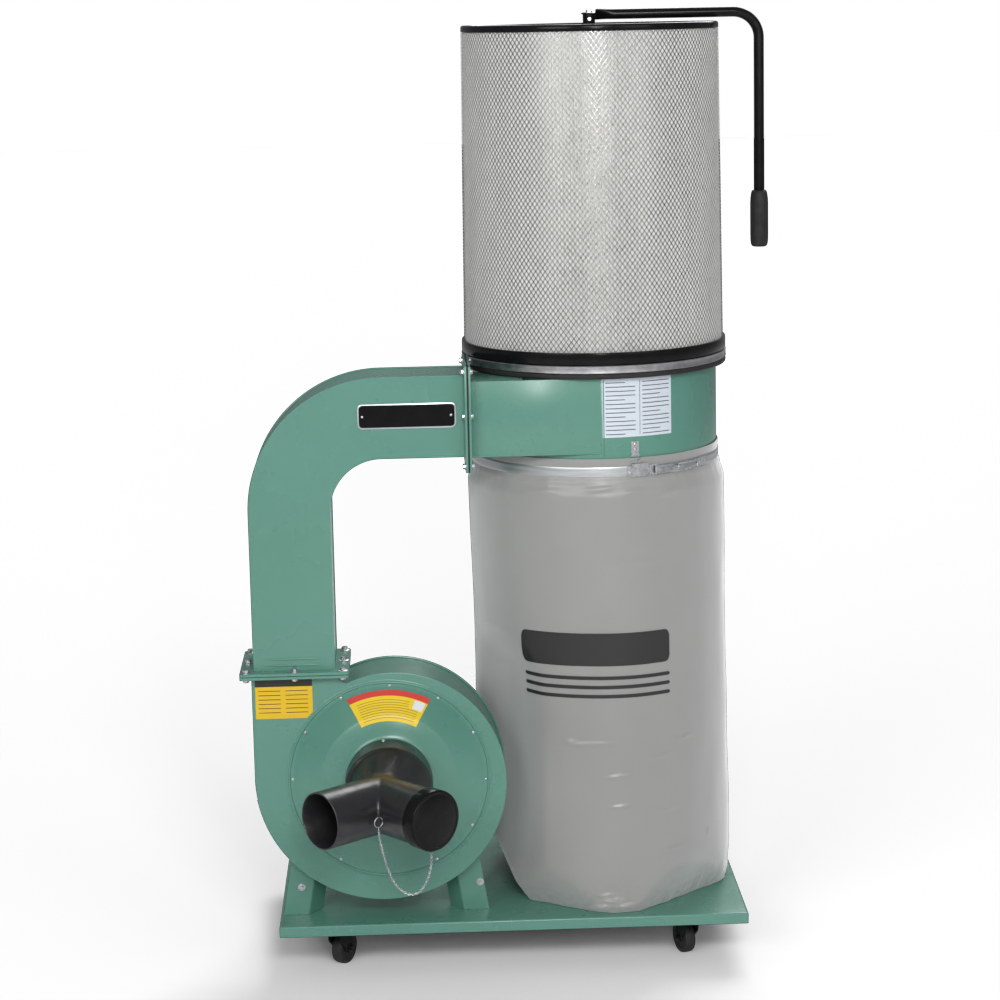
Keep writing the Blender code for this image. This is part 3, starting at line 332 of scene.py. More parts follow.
def lathe(shape, profile, place, steps=96, closed=True):
    """Turns (radius, height) points about the placement's +Z; closed joins the last to the first."""
    rings = []
    for radius, height in profile:
        if radius < 1e-6:
            rings.append([shape.verts.new(place @ Vector((0, 0, height)))] * steps)
            continue
        row = []
        for i in range(steps):
            x, y = polar(radius, 360 * i / steps)
            row.append(shape.verts.new(place @ Vector((x, y, height))))
        rings.append(row)
    for row, beyond in zip(rings, rings[1:] + (rings[:1] if closed else [])):
        for i in range(steps):
            j = (i + 1) % steps
            corners = []
            for vert in (row[i], row[j], beyond[j], beyond[i]):
                if vert not in corners:
                    corners.append(vert)
            if len(corners) > 2:
                shape.faces.new(corners)


def turned(name, profile, place, steps, material, slot, closed=True, **fitting):
    """A piece made of one turned profile."""
    shape = bmesh.new()
    lathe(shape, profile, place, steps, closed)
    piece(name, shape, material, slot, **fitting)


def block(shape, low, high, bevel=0.0, segments=2, place=None):
    """A box between two corners with rounded edges."""
    low, high = Vector(low), Vector(high)
    centre, size = (low + high) / 2, high - low
    matrix = Matrix.Translation(centre) @ Matrix.Diagonal((*size, 1.0))
    made = bmesh.ops.create_cube(shape, size=1.0, matrix=matrix)["verts"]
    if bevel:
        edges = list({edge for vert in made for edge in vert.link_edges})
        made = bmesh.ops.bevel(
            shape, geom=edges, offset=bevel, segments=segments, profile=0.5, affect="EDGES")["verts"]
    if place is not None:
        bmesh.ops.transform(shape, matrix=place, verts=made)


def slab(shape, points, thickness, place, bevel=0.0, segments=2):
    """A plate with this outline, rising from the placement's XY plane along its +Z."""
    bottom = [shape.verts.new(place @ Vector((x, y, 0))) for x, y in points]
    top = [shape.verts.new(place @ Vector((x, y, thickness))) for x, y in points]
    lower = shape.faces.new(bottom)
    upper = shape.faces.new(top)
    bridge(shape, [bottom, top])
    if bevel:
        edges = list(upper.edges) + list(lower.edges)
        bmesh.ops.bevel(shape, geom=edges, offset=bevel, segments=segments, profile=0.5, affect="EDGES")


def pipe(shape, points, radii, sides=14, closed=False, squash=None):
    """A round tube along points; radii is a number or one for each point, and so is squash."""
    count = len(points)
    radii = [radii] * count if isinstance(radii, float) else radii
    rows = []
    up = None
    for i, point in enumerate(points):
        before = points[i - 1] if i or closed else point
        after = points[(i + 1) % count] if i < count - 1 or closed else point
        along = (after - before).normalized()
        if up is None:
            up = along.orthogonal().normalized()
        up = (up - along * up.dot(along)).normalized()
        across = along.cross(up)
        flat = squash[i] if squash else (1.0, 1.0)
        row = []
        for k in range(sides):
            x, y = polar(radii[i], 360 * k / sides)
            row.append(shape.verts.new(point + across * x * flat[0] + up * y * flat[1]))
        rows.append(row)
    bridge(shape, rows + rows[:1] if closed else rows)
    if not closed:
        shape.faces.new(rows[0])
        shape.faces.new(rows[-1])


def rounded(points, radius, steps=6):
    """A 2D outline with each corner rounded to this radius, or to one radius for each corner."""
    count = len(points)
    radii = [radius] * count if isinstance(radius, float) else radius
    out = []
    for i in range(count):
        corner = Vector(points[i])
        back = (Vector(points[i - 1]) - corner).normalized()
        ahead = (Vector(points[(i + 1) % count]) - corner).normalized()
        half = back.angle(ahead) / 2
        reach = radii[i] / math.tan(half)
        start, end = corner + back * reach, corner + ahead * reach
        centre = corner + (back + ahead).normalized() * (radii[i] / math.sin(half))
        a, b = start - centre, end - centre
        turn = a.angle_signed(b)
        for k in range(steps + 1):
            angle = -turn * k / steps
            x = a.x * math.cos(angle) - a.y * math.sin(angle)
            y = a.x * math.sin(angle) + a.y * math.cos(angle)
            out.append((centre.x + x, centre.y + y))
    return out


def rectangle(x_low, x_high, y_low, y_high):
    """A 2D outline between two corners."""
    return [(x_low, y_low), (x_high, y_low), (x_high, y_high), (x_low, y_high)]


def hex_head(shape, point, direction, across=0.0100, height=0.0050, washer=True, spin=0.0):
    """A hexagon screw head on its washer."""
    place = turn_to(direction, point) @ Matrix.Rotation(math.radians(spin), 4, "Z")
    base = 0.0
    if washer:
        lathe(shape, [(across * 0.95, 0), (across * 0.95, 0.0010), (across * 0.88, 0.0014), (0, 0.0014)],
              place, 24, closed=False)
        base = 0.0012
    corners = across / 2 / math.cos(math.radians(30))
    lathe(shape, [(corners, base), (corners, base + height * 0.85), (corners * 0.86, base + height),
                  (0, base + height)], place, 6, closed=False)


def pan_head(shape, point, direction, radius=0.0042, height=0.0026):
    """A small domed screw or rivet head with a shallow recess."""
    place = turn_to(direction, point)
    profile = [(radius, 0), (radius, height * 0.35), (radius * 0.85, height * 0.75),
               (radius * 0.55, height * 0.97), (radius * 0.30, height), (radius * 0.22, height * 0.7),
               (0, height * 0.6)]
    lathe(shape, profile, place, 20, closed=False)


# ---------------------------------------------------------------- camera, floor and light


CAMERA_PLACE, CAMERA_LENS = (-0.3498, -5.0, 1.8462), 92.42
CAMERA_TURN = 0.0324, 0.1713, -0.0200  # yaw, pitch and roll in radians


def camera():
    """Eye height in front of the inlet, looking slightly down and to the right."""
    yaw, pitch, roll = CAMERA_TURN
    forward = Vector((math.sin(yaw) * math.cos(pitch), math.cos(yaw) * math.cos(pitch), -math.sin(pitch)))
    right = Vector((math.cos(yaw), -math.sin(yaw), 0))
    up = right.cross(forward)
    turned_right = right * math.cos(roll) + up * math.sin(roll)
    turned_up = -right * math.sin(roll) + up * math.cos(roll)
    data = bpy.data.cameras.new("camera")
    data.sensor_width = 36
    data.lens = CAMERA_LENS
    data.shift_y = -0.05
    data.clip_end = 200
    item = bpy.data.objects.new("camera", data)
    bpy.context.scene.collection.objects.link(item)
    axes = Matrix((turned_right, turned_up, -forward)).transposed().to_4x4()
    item.matrix_world = Matrix.Translation(at(*CAMERA_PLACE)) @ axes
    bpy.context.scene.camera = item


def area_light(name, place, target, size, power):
    """A rectangular light that faces its target."""
    data = bpy.data.lights.new(name, "AREA")
    data.shape = "RECTANGLE"
    data.size, data.size_y = size
    data.energy = power
    item = bpy.data.objects.new(name, data)
    bpy.context.scene.collection.objects.link(item)
    item.location = place
    item.rotation_mode = "QUATERNION"
    item.rotation_quaternion = (Vector(target) - Vector(place)).to_track_quat("-Z", "Y")


ROOM_SHADES = (  # the room's shades, from straight down to straight up
    (0.0, 0.09), (0.40, 0.15), (0.52, 0.32), (0.80, 0.34), (1.0, 0.38))
ROOM_FRONT_TO_BACK = (1.00, 0.55)
FLOOR_REACH, FLOOR_GAP = 30, 0.0002


def surround():
    """White behind the machine; to the machine itself, a dim room, darker near the floor and behind."""
    world = bpy.data.worlds.new("surround")
    world.use_nodes = True
    bpy.context.scene.world = world
    bpy.context.scene.view_settings.view_transform = "Standard"
    tree = world.node_tree
    white = tree.nodes["Background"]
    white.inputs["Color"].default_value = (1.0, 1.0, 1.0, 1.0)
    room = tree.nodes.new("ShaderNodeBackground")
    direction = tree.nodes.new("ShaderNodeTexCoord")
    split = tree.nodes.new("ShaderNodeSeparateXYZ")
    ramp = tree.nodes.new("ShaderNodeValToRGB")
    for position, _ in ROOM_SHADES[1:-1]:
        ramp.color_ramp.elements.new(position)
    for element, (position, level) in zip(ramp.color_ramp.elements, ROOM_SHADES):
        element.position = position
        element.color = (level, level, level * 1.03, 1.0)
    chooser = tree.nodes.new("ShaderNodeMixShader")
    path = tree.nodes.new("ShaderNodeLightPath")
    link = tree.links.new
    link(direction.outputs["Generated"], split.inputs["Vector"])
    link(map_range(tree, split.outputs["Z"], (-1.0, 1.0), (0.0, 1.0)), ramp.inputs["Fac"])
    link(ramp.outputs["Color"], room.inputs["Color"])
    link(map_range(tree, split.outputs["Y"], (-1.0, 1.0), ROOM_FRONT_TO_BACK), room.inputs["Strength"])
    link(path.outputs["Is Camera Ray"], chooser.inputs["Fac"])
    link(room.outputs["Background"], chooser.inputs[1])
    link(white.outputs["Background"], chooser.inputs[2])
    link(chooser.outputs["Shader"], tree.nodes["World Output"].inputs["Surface"])


def lights():
    """A soft light above the operator, a narrow one for the net's shine, and fill from all sides."""
    middle = at(-0.15, 0, 0.9)
    area_light("key", at(0.10, -4.8, 3.2), middle, (1.6, 0.9), 92)
    area_light("strip", at(0.18, -4.9, 2.0), at(0, 0, 1.5), (0.30, 0.8), 26)
    area_light("left", at(-2.6, -4.0, 2.6), middle, (2.2, 1.6), 62)
    area_light("right", at(2.6, -3.6, 2.4), middle, (2.2, 2.0), 24)
    area_light("back", at(1.4, 4.0, 4.6), middle, (3.0, 3.0), 210)


def floor():
    """A plain white floor that only shows the machine's soft shadow."""
    shape = bmesh.new()
    block(shape, at(-FLOOR_REACH, -FLOOR_REACH, -0.02), at(FLOOR_REACH, FLOOR_REACH, -FLOOR_GAP))
    mesh = bpy.data.meshes.new("floor")
    shape.to_mesh(mesh)
    shape.free()
    item = bpy.data.objects.new("floor", mesh)
    bpy.context.scene.collection.objects.link(item)
    mesh.materials.append(new_material("floor_paint", (0.8, 0.8, 0.8), 0.9))
    item.is_shadow_catcher = True


camera()
surround()
lights()
floor()


# ---------------------------------------------------------------- cap chain

CHAIN_ROUTE = [
    (-0.4392, -0.4805, 0.3666), (-0.4388, -0.4810, 0.3560), (-0.4360, -0.4815, 0.3370),
    (-0.4315, -0.4820, 0.3150), (-0.4250, -0.4830, 0.2930), (-0.4180, -0.4835, 0.2730),
    (-0.4080, -0.4840, 0.2560), (-0.3950, -0.4845, 0.2445), (-0.3815, -0.4850, 0.2400),
    (-0.3680, -0.4855, 0.2450), (-0.3580, -0.4860, 0.2570), (-0.3510, -0.4865, 0.2720),
    (-0.3465, -0.4875, 0.2880), (-0.3440, -0.4890, 0.3040), (-0.3440, -0.4935, 0.3175),
    (-0.3445, -0.4965, 0.3232)]


def smooth_route(route, spacing):
    """Points along the smooth curve through the route's own points."""
    padded = [2 * route[0] - route[1]] + route + [2 * route[-1] - route[-2]]
    points = []
    for i in range(1, len(padded) - 2):
        a, b, c, d = padded[i - 1:i + 3]
        count = max(1, round((c - b).length / spacing))
        for step in range(count):
            t = step / count
            points.append(0.5 * (2 * b + (c - a) * t + (2 * a - 5 * b + 4 * c - d) * t ** 2
                                 + (3 * b - a - 3 * c + d) * t ** 3))
    points.append(route[-1])
    return points


def evenly(points, spacing):
    """Points at an even spacing along a fine path."""
    out = [points[0]]
    left = spacing
    for a, b in zip(points, points[1:]):
        length = (b - a).length
        while length >= left:
            a = a + (b - a).normalized() * left
            out.append(a)
            length -= left
            left = spacing
        left -= length
    return out


def cap_chain():
    """Twisted oval links, each a quarter turn from the last."""
    route = smooth_route([at(*point) for point in CHAIN_ROUTE], 0.0006)
    pitch, wire = 0.0040, 0.00080
    stations = evenly(route, pitch)
    shape = bmesh.new()
    side = Vector((1, 0, 0))
    for i, (a, b) in enumerate(zip(stations, stations[1:])):
        along = (b - a).normalized()
        side = (side - along * side.dot(along)).normalized()
        across = side if i % 2 else along.cross(side)
        pipe(shape, oval((a + b) / 2, along * 0.0030, across * 0.0018, 14), wire, 6, closed=True)
    chain = piece("cap_chain_links", shape, ZINC, "zinc", replaces=["cap_chain"], sharp=60)
    path = evenly(route, 0.004)
    if (path[-1] - route[-1]).length > 0.0005:
        path.append(route[-1])


cap_chain()


# ---------------------------------------------------------------- base


def base_plate():
    """Sheet folded down along four edges, with rounded corners."""
    shape = bmesh.new()
    left, right, half = PLATE_LEFT, PLATE_RIGHT, PLATE_HALF
    low, top, sheet, fold = PLATE_TOP - PLATE_LIP, PLATE_TOP, 0.003, 0.0035
    rows = []
    profile = [(0.0, low)]
    for i in range(6):
        across, up = polar(fold, 18 * i)
        profile.append((fold - across, top - fold + up))
    for inset, z in profile:
        outline = rounded(rectangle(left + inset, right - inset, inset - half, half - inset),
                          max(0.0035 - inset, 0.0006), 4)
        rows.append([shape.verts.new(at(x, y, z)) for x, y in outline])
    inner = []
    for z in (top - sheet, low):
        outline = rounded(rectangle(left + sheet, right - sheet, sheet - half, half - sheet), 0.0008, 4)
        inner.append([shape.verts.new(at(x, y, z)) for x, y in outline])
    shape.faces.new(rows[-1])
    shape.faces.new(inner[0])
    bridge(shape, rows)
    bridge(shape, inner + rows[:1])
    piece("base_plate_sheet", shape, GREEN, "green_paint", replaces=["base_plate"])


def bolts_on_plate():
    """The bolt heads that hold the caster plates up against the sheet."""
    shape = bmesh.new()
    for x, y, _ in CASTERS.values():
        for dx in (-0.020, 0.020):
            for dy in (-0.016, 0.016):
                hex_head(shape, at(x + dx, y + dy, 0.0936), (0, 0, -1), 0.0080, 0.0035, washer=False)
    piece("caster_bolts", shape, ZINC, "zinc")


def caster_tyre(place, turn):
    """The wheel with its rounded tread and its hollowed sides."""
    half, tread = WHEEL_WIDTH / 2, []
    for i in range(9):
        across, up = polar(1.0, 180 * i / 8)
        tread.append((WHEEL_RADIUS - 0.0035 + 0.0035 * max(up, 0) ** 0.6, half * across))
    profile = tread + [(0.0235, -half + 0.0002), (0.0220, -half + 0.0025), (0.0110, -half + 0.0035),
                       (0.0095, -half), (0.0050, -half), (0.0050, half), (0.0095, half),
                       (0.0110, half - 0.0035), (0.0220, half - 0.0025), (0.0235, half - 0.0002)]
    turned("caster_tyre_" + place, profile, turn, 72, RUBBER, "black_rubber",
           body="wheel_" + place, replaces=["caster_wheel_" + place])


def caster(place, x, y, heading):
    """Top plate with its race, the swivelling yoke with its axle bolts, and the wheel."""
    axle_way = Vector((*polar(1, heading), 0))
    rolling = Vector((-axle_way.y, axle_way.x, 0))
    if rolling.y < 0:
        axle_way, rolling = -axle_way, -rolling
    swivel = at(x, y, 0)
    centre = swivel + rolling * CASTER_TRAIL + Vector((0, 0, WHEEL_RADIUS))
    plate_low = CASTER_PLATE_TOP - 0.003
    shape = bmesh.new()
    slab(shape, rounded(rectangle(-0.028, 0.028, -0.024, 0.024), 0.005), 0.003,
         Matrix.Translation(swivel + Vector((0, 0, plate_low))), 0.0005, 1)
    profile = [(0.0165, 0.0005), (0.0170, -0.0010), (0.0165, -0.0040), (0.0, -0.0040)]
    lathe(shape, profile, Matrix.Translation(swivel + Vector((0, 0, plate_low))), 48, closed=False)
    piece("caster_top_" + place, shape, ZINC, "zinc", replaces=["caster_plate_" + place])

    shape = bmesh.new()
    deck = plate_low - 0.0044
    inner, sheet = WHEEL_WIDTH / 2 + 0.0015, 0.0020
    profile = [(0.0190, deck - 0.0030), (0.0190, deck - 0.0012), (0.0175, deck), (0.0, deck),
               (0.0, deck - 0.0030)]
    lathe(shape, profile, Matrix.Translation(swivel), 48)
    turn = Matrix((rolling, Vector((0, 0, 1)), axle_way)).transposed().to_4x4()
    low = WHEEL_RADIUS - 0.010
    leg = [(-0.0155, deck - 0.0005), (-0.0130, 0.052), (0.012, low + 0.006), (0.016, low), (0.028, low),
           (0.0315, low + 0.010), (0.024, 0.060), (0.0165, deck - 0.0005)]
    for side in (-1, 1):
        offset = inner if side > 0 else -inner - sheet
        slab(shape, rounded(leg, 0.004, 4), sheet, Matrix.Translation(swivel + axle_way * offset) @ turn,
             0.0005, 1)
    for side in (-1, 1):
        tip = centre + axle_way * side * (inner + sheet)
        hex_head(shape, tip, axle_way * side, 0.0090, 0.0035)
    piece("caster_yoke_" + place, shape, BLACK, "zinc", "swivel_" + place, ["caster_fork_" + place])
    caster_tyre(place, turn_to(axle_way, centre))


base_plate()
bolts_on_plate()
for caster_place, (caster_x, caster_y, caster_heading) in CASTERS.items():
    caster(caster_place, caster_x, caster_y, caster_heading)


# ---------------------------------------------------------------- fan housing


def volute(inset, first=270.0):
    """The scroll as (x, z) points, from the outlet's left side down and round to the cutoff."""
    points = []
    count = round((first - CUTOFF_ANGLE) / VOLUTE_STEP)
    for i in range(count + 1):
        bearing = first + (CUTOFF_ANGLE - first) * i / count
        radius = CUTOFF_RADIUS + VOLUTE_GROWTH * (bearing - CUTOFF_ANGLE) - inset
        angle = math.radians(bearing)
        points.append((FAN_X + radius * math.sin(angle), FAN_Z + radius * math.cos(angle)))
    return points


def scroll_outline(inset):
    """The whole front view of the housing: outlet neck and scroll, with a soft bend at the cutoff."""
    left = FAN_X - CUTOFF_RADIUS - VOLUTE_GROWTH * (270 - CUTOFF_ANGLE) + inset
    right = DUCT_RIGHT - inset
    points = [(left, OUTLET_TOP - 0.0005)] + volute(inset)
    tip_x, tip_z = points[-1]
    for i in range(1, 5):
        t = i / 5
        bow = 0.0045 * math.sin(math.pi * t)
        points.append((tip_x + (right - tip_x) * t, tip_z + (OUTLET_TOP - 0.006 - tip_z) * t - bow))
    points.append((right, OUTLET_TOP - 0.0005))
    return points


def loop_band(shape, outline, y_front, y_back, inside):
    """A wall between two outlines, from y_front to y_back."""
    rows = []
    for points, y in ((outline, y_front), (outline, y_back), (inside, y_back), (inside, y_front)):
        rows.append([shape.verts.new(at(x, y, z)) for x, z in points])
    bridge(shape, rows + rows[:1], looped=False)
    for k in (0, -1):
        shape.faces.new([row[k] for row in rows])


def ring_plate(shape, outline, hole_radius, y_face, thickness):
    """A flat side plate with a round hole about the fan's axis."""
    centre = Vector((FAN_X, FAN_Z))
    hole = oval(centre, Vector((hole_radius, 0)), Vector((0, hole_radius)), 96)
    for y in (y_face, y_face + thickness):
        outer = [shape.verts.new(at(x, y, z)) for x, z in outline]
        inner = [shape.verts.new(at(x, y, z)) for x, z in hole]
        edges = []
        for row in (outer, inner):
            for i in range(len(row)):
                edges.append(shape.edges.new((row[i], row[(i + 1) % len(row)])))
        bmesh.ops.triangle_fill(shape, use_beauty=True, use_dissolve=True, edges=edges)
        if y == y_face:
            first_outer, first_inner = outer, inner
    bridge(shape, [first_outer, outer])
    bridge(shape, [first_inner, inner])


ROLL = 0.0016  # half the thickness of the housing's rolled edges


def fan_housing():
    """Front plate with its rolled rim, scroll sheet set back inside of it, and the back plate."""
    sheet = 0.0022
    shape = bmesh.new()
    ring_plate(shape, scroll_outline(0.0012), 0.176, FRONT_Y, sheet)
    ring_plate(shape, scroll_outline(0.0012), 0.0205, BACK_Y - sheet, sheet)
    loop_band(shape, scroll_outline(0.0032), FRONT_Y + sheet, BACK_Y - sheet, scroll_outline(0.0054))
    for y in (FRONT_Y + ROLL, BACK_Y - ROLL):
        pipe(shape, [at(x, y, z) for x, z in volute(ROLL, 262.0)], ROLL, 8)
    frame_flange(shape, OUTLET_TOP - FLANGE, OUTLET_TOP + 0.0008)
    piece("housing_shell", shape, GREEN, "green_paint", replaces=["fan_housing"])


def frame_flange(shape, z_low, z_high, inset=0.0):
    """A flat rectangular flange round the vertical duct, open in the middle."""
    width = FLANGE_WIDTH - inset
    outer = rounded(rectangle(DUCT_LEFT - width, DUCT_RIGHT + width, FRONT_Y - width, BACK_Y + width),
                    0.004, 4)
    inner = rounded(rectangle(DUCT_LEFT + 0.002, DUCT_RIGHT - 0.002, FRONT_Y + 0.002, BACK_Y - 0.002),
                    0.001, 4)
    rows = []
    for outline, z in ((outer, z_low), (outer, z_high - 0.0006), (outer, z_high), (inner, z_high),
                       (inner, z_low)):
        pull = 0.0006 if outline is outer and z == z_high else 0.0
        middle_x, middle_y = (DUCT_LEFT + DUCT_RIGHT) / 2, (FRONT_Y + BACK_Y) / 2
        row = []
        for x, y in outline:
            row.append(shape.verts.new(at(
                x - math.copysign(pull, x - middle_x), y - math.copysign(pull, y - middle_y), z)))
        rows.append(row)
    bridge(shape, rows + rows[:1])


COVER_FACE = (  # (radius, height) points of the cover's outside, from its rim to its throat
    (COVER_RADIUS, 0.0008), (0.1960, 0.0014), (0.1942, 0.0014), (0.1936, 0.0026), (0.1926, 0.0035),
    (0.1916, 0.0038), (0.1906, 0.0035), (0.1896, 0.0026), (0.1890, 0.0013), (0.1815, 0.0012),
    (0.1796, 0.0004), (0.1300, -0.0018), (0.1275, -0.0017), (0.1250, -0.0008), (0.1222, 0.0004),
    (0.1000, 0.0046), (0.0895, 0.0066), (0.0850, 0.0078), (0.0815, 0.0102), (0.0797, 0.0140),
    (COVER_THROAT + 0.0020, 0.0200), (COVER_THROAT + 0.0020, 0.0480))


def cover_height(radius):
    """How far the cover's face stands out at a distance from its middle."""
    for (outer, high), (inner, low) in zip(COVER_FACE, COVER_FACE[1:]):
        if inner <= radius <= outer:
            return high + (low - high) * (outer - radius) / max(outer - inner, 1e-6)
    return 0.0


def inlet_cover():
    """Pressed cover: folded rim, bead, flat ring, crease, rising cone and throat."""
    inside = [(COVER_THROAT, 0.0480), (COVER_THROAT, 0.0120), (0.0840, 0.0052), (0.1220, -0.0014),
              (0.1290, -0.0038), (0.1790, -0.0014), (0.1830, -0.0002), (COVER_RADIUS, -0.0002)]
    place = face_front(FAN_X, FRONT_Y - 0.0004, FAN_Z)
    turned("inlet_cover_pressing", list(COVER_FACE) + inside, place, 144, GREEN, "green_paint",
           replaces=["inlet_cover"], sharp=50)
    shape = bmesh.new()
    for i in range(12):
        across, up = polar(0.1852, 30 * i - 1.6)
        pan_head(shape, place @ Vector((across, up, 0.0012)), (0, -1, 0), 0.0032, 0.0022)
    piece("cover_screws", shape, ZINC, "zinc")


LEG_TOP = 0.300


def scroll_floor(x):
    """The height at which the scroll's underside starts, or the legs' top where that is lower."""
    points = volute(-0.0006)
    best = LEG_TOP
    for (xa, za), (xb, zb) in zip(points, points[1:]):
        if za < FAN_Z and min(xa, xb) <= x <= max(xa, xb) and xa != xb:
            best = min(best, za + (zb - za) * (x - xa) / (xb - xa))
    return best


def legs():
    """Bent angles under the scroll: front flange and folded web, cut to the scroll's curve."""
    for name, side, foot, head in (("left", -1, FAN_X - 0.165, FAN_X - 0.132),
                                   ("right", 1, FAN_X + 0.140, FAN_X + 0.108)):
        shape = bmesh.new()
        edge_y, sheet = -0.196, 0.003
        section = [(side * 0.048, 0.0), (side * 0.002, 0.0), (0.0, 0.0006), (-side * 0.0016, 0.0024),
                   (-side * 0.024, 0.034), (-side * 0.0268, 0.032), (-side * 0.0030, 0.0002),
                   (-side * 0.0012, -0.0022), (side * 0.0012, -sheet), (side * 0.048, -sheet)]
        rows = []
        steps = 24
        for i in range(steps + 1):
            t = i / steps
            x0, z = foot + (head - foot) * t, PLATE_TOP + 0.0004 + (LEG_TOP - PLATE_TOP) * t
            rows.append([shape.verts.new(at(x0 + dx, edge_y + dy, z)) for dx, dy in section])
        bridge(shape, rows)
        shape.faces.new(rows[0])
        shape.faces.new(rows[-1])
        for vert in shape.verts:
            vert.co.z = min(vert.co.z, scroll_floor(vert.co.x - AXIS.x))
        piece(name + "_leg_angle", shape, GREEN, "green_paint", replaces=[name + "_leg"])


def housing_fasteners():
    """Leg bolts, the flange bolts round the duct's foot, and their nuts below."""
    shape = bmesh.new()
    for x, z in ((-0.598, 0.160), (-0.250, 0.160)):
        hex_head(shape, at(x, -0.1992, z), (0, -1, 0), 0.0080, 0.0040, spin=20)
    top = OUTLET_TOP + 0.0028 + FLANGE
    for x in (DUCT_LEFT - 0.014, (DUCT_LEFT + DUCT_RIGHT) / 2, DUCT_RIGHT + 0.014):
        for y in (FRONT_Y - 0.014, BACK_Y + 0.014):
            hex_head(shape, at(x, y, top), (0, 0, 1), 0.0100, 0.0055, spin=15)
            hex_head(shape, at(x, y, OUTLET_TOP - FLANGE), (0, 0, -1), 0.0100, 0.0048, spin=40)
    for x in (DUCT_LEFT - 0.014, DUCT_RIGHT + 0.014):
        hex_head(shape, at(x, (FRONT_Y + BACK_Y) / 2, top), (0, 0, 1), 0.0100, 0.0055)
        hex_head(shape, at(x, (FRONT_Y + BACK_Y) / 2, OUTLET_TOP - FLANGE), (0, 0, -1), 0.0100, 0.0048)
    piece("flange_bolts", shape, ZINC, "zinc")


fan_housing()
inlet_cover()
legs()
housing_fasteners()


# ---------------------------------------------------------------- Y-connector


def port_way(side):
    """The direction of the left port at -1, of the right port at 1, and midway at 0."""
    return Vector((*polar(1, -90 - PORT_SKEW + side * PORT_ANGLE), 0))


JUNCTION = at(FAN_X, FRONT_Y, FAN_Z) + port_way(0) * PORT_JUNCTION


def smooth_union(shape, parts, voxel, passes):
    """Joins closed shapes into one skin through a voxel remesh and smooths the seam."""
    mesh = bpy.data.meshes.new("union_source")
    bmesh.ops.recalc_face_normals(parts, faces=parts.faces)
    parts.to_mesh(mesh)
    parts.free()
    item = bpy.data.objects.new("union_source", mesh)
    bpy.context.scene.collection.objects.link(item)
    remesh = item.modifiers.new("remesh", "REMESH")
    remesh.mode = "VOXEL"
    remesh.voxel_size = voxel
    smooth = item.modifiers.new("smooth", "SMOOTH")
    smooth.factor = 0.5
    smooth.iterations = passes
    evaluated = item.evaluated_get(bpy.context.evaluated_depsgraph_get())
    skin = bpy.data.meshes.new_from_object(evaluated)
    shape.from_mesh(skin)
    bpy.data.objects.remove(item, do_unlink=True)
    bpy.data.meshes.remove(mesh)
    bpy.data.meshes.remove(skin)


def y_connector():
    """Collar, shoulder and two open ports, as one moulding with rounded joints."""
    parts = bmesh.new()
    start = at(FAN_X, FRONT_Y - 0.0124, FAN_Z)
    collar_end = at(FAN_X, FRONT_Y - COLLAR_LENGTH, FAN_Z)
    ahead = turn_to((0, -1, 0), start)
    length = (collar_end - start).length
    lathe(parts, [(0, 0), (COLLAR_RADIUS, 0), (COLLAR_RADIUS, length), (0, length)], ahead, 96, closed=False)
    axis = JUNCTION - collar_end
    shoulder = turn_to(axis, collar_end - axis.normalized() * 0.004)
    reach = axis.length + 0.004
    lathe(parts, [(0, 0), (COLLAR_RADIUS - 0.001, 0), (PORT_RADIUS - 0.004, reach), (0, reach)], shoulder, 96,
          closed=False)
    for side in (-1, 1):
        place = turn_to(port_way(side), JUNCTION - port_way(side) * 0.022)
        lathe(parts, [(0, 0), (PORT_RADIUS, 0), (PORT_RADIUS, PORT_LENGTH - 0.008), (0, PORT_LENGTH - 0.008)],
              place, 96, closed=False)
    shape = bmesh.new()
    smooth_union(shape, parts, 0.0026, 6)
    for side in (-1, 1):
        way = port_way(side)
        place = turn_to(way, JUNCTION)
        start_at, end_at = PORT_LENGTH - 0.045, PORT_LENGTH
        profile = [(PORT_RADIUS - 0.0004, start_at), (PORT_RADIUS, end_at - 0.0006),
                   (PORT_RADIUS - 0.0006, end_at), (PORT_RADIUS - PORT_WALL + 0.0006, end_at),
                   (PORT_RADIUS - PORT_WALL, end_at - 0.0008), (PORT_RADIUS - PORT_WALL, 0.045)]
        cut_mouth(shape, way, start_at + 0.002)
        lathe(shape, profile, place, 96, closed=False)
    piece("y_connector_moulding", shape, PLASTIC, "black_plastic", replaces=["y_connector"], sharp=45)
    shape = bmesh.new()
    for bearing in (96, 216, -24):
        across, up = polar(COLLAR_RADIUS, bearing)
        pan_head(shape, at(FAN_X + across, FRONT_Y - 0.028, FAN_Z + up), (across, 0, up))
    piece("collar_screws", shape, ZINC, "zinc")


def cut_mouth(shape, way, distance):
    """Takes the skin away beyond this distance along a port."""
    gone = []
    for face in shape.faces:
        offset = face.calc_center_median() - JUNCTION
        along = offset.dot(way)
        if along > distance and (offset - way * along).length < PORT_RADIUS + 0.004:
            gone.append(face)
    bmesh.ops.delete(shape, geom=gone, context="FACES")


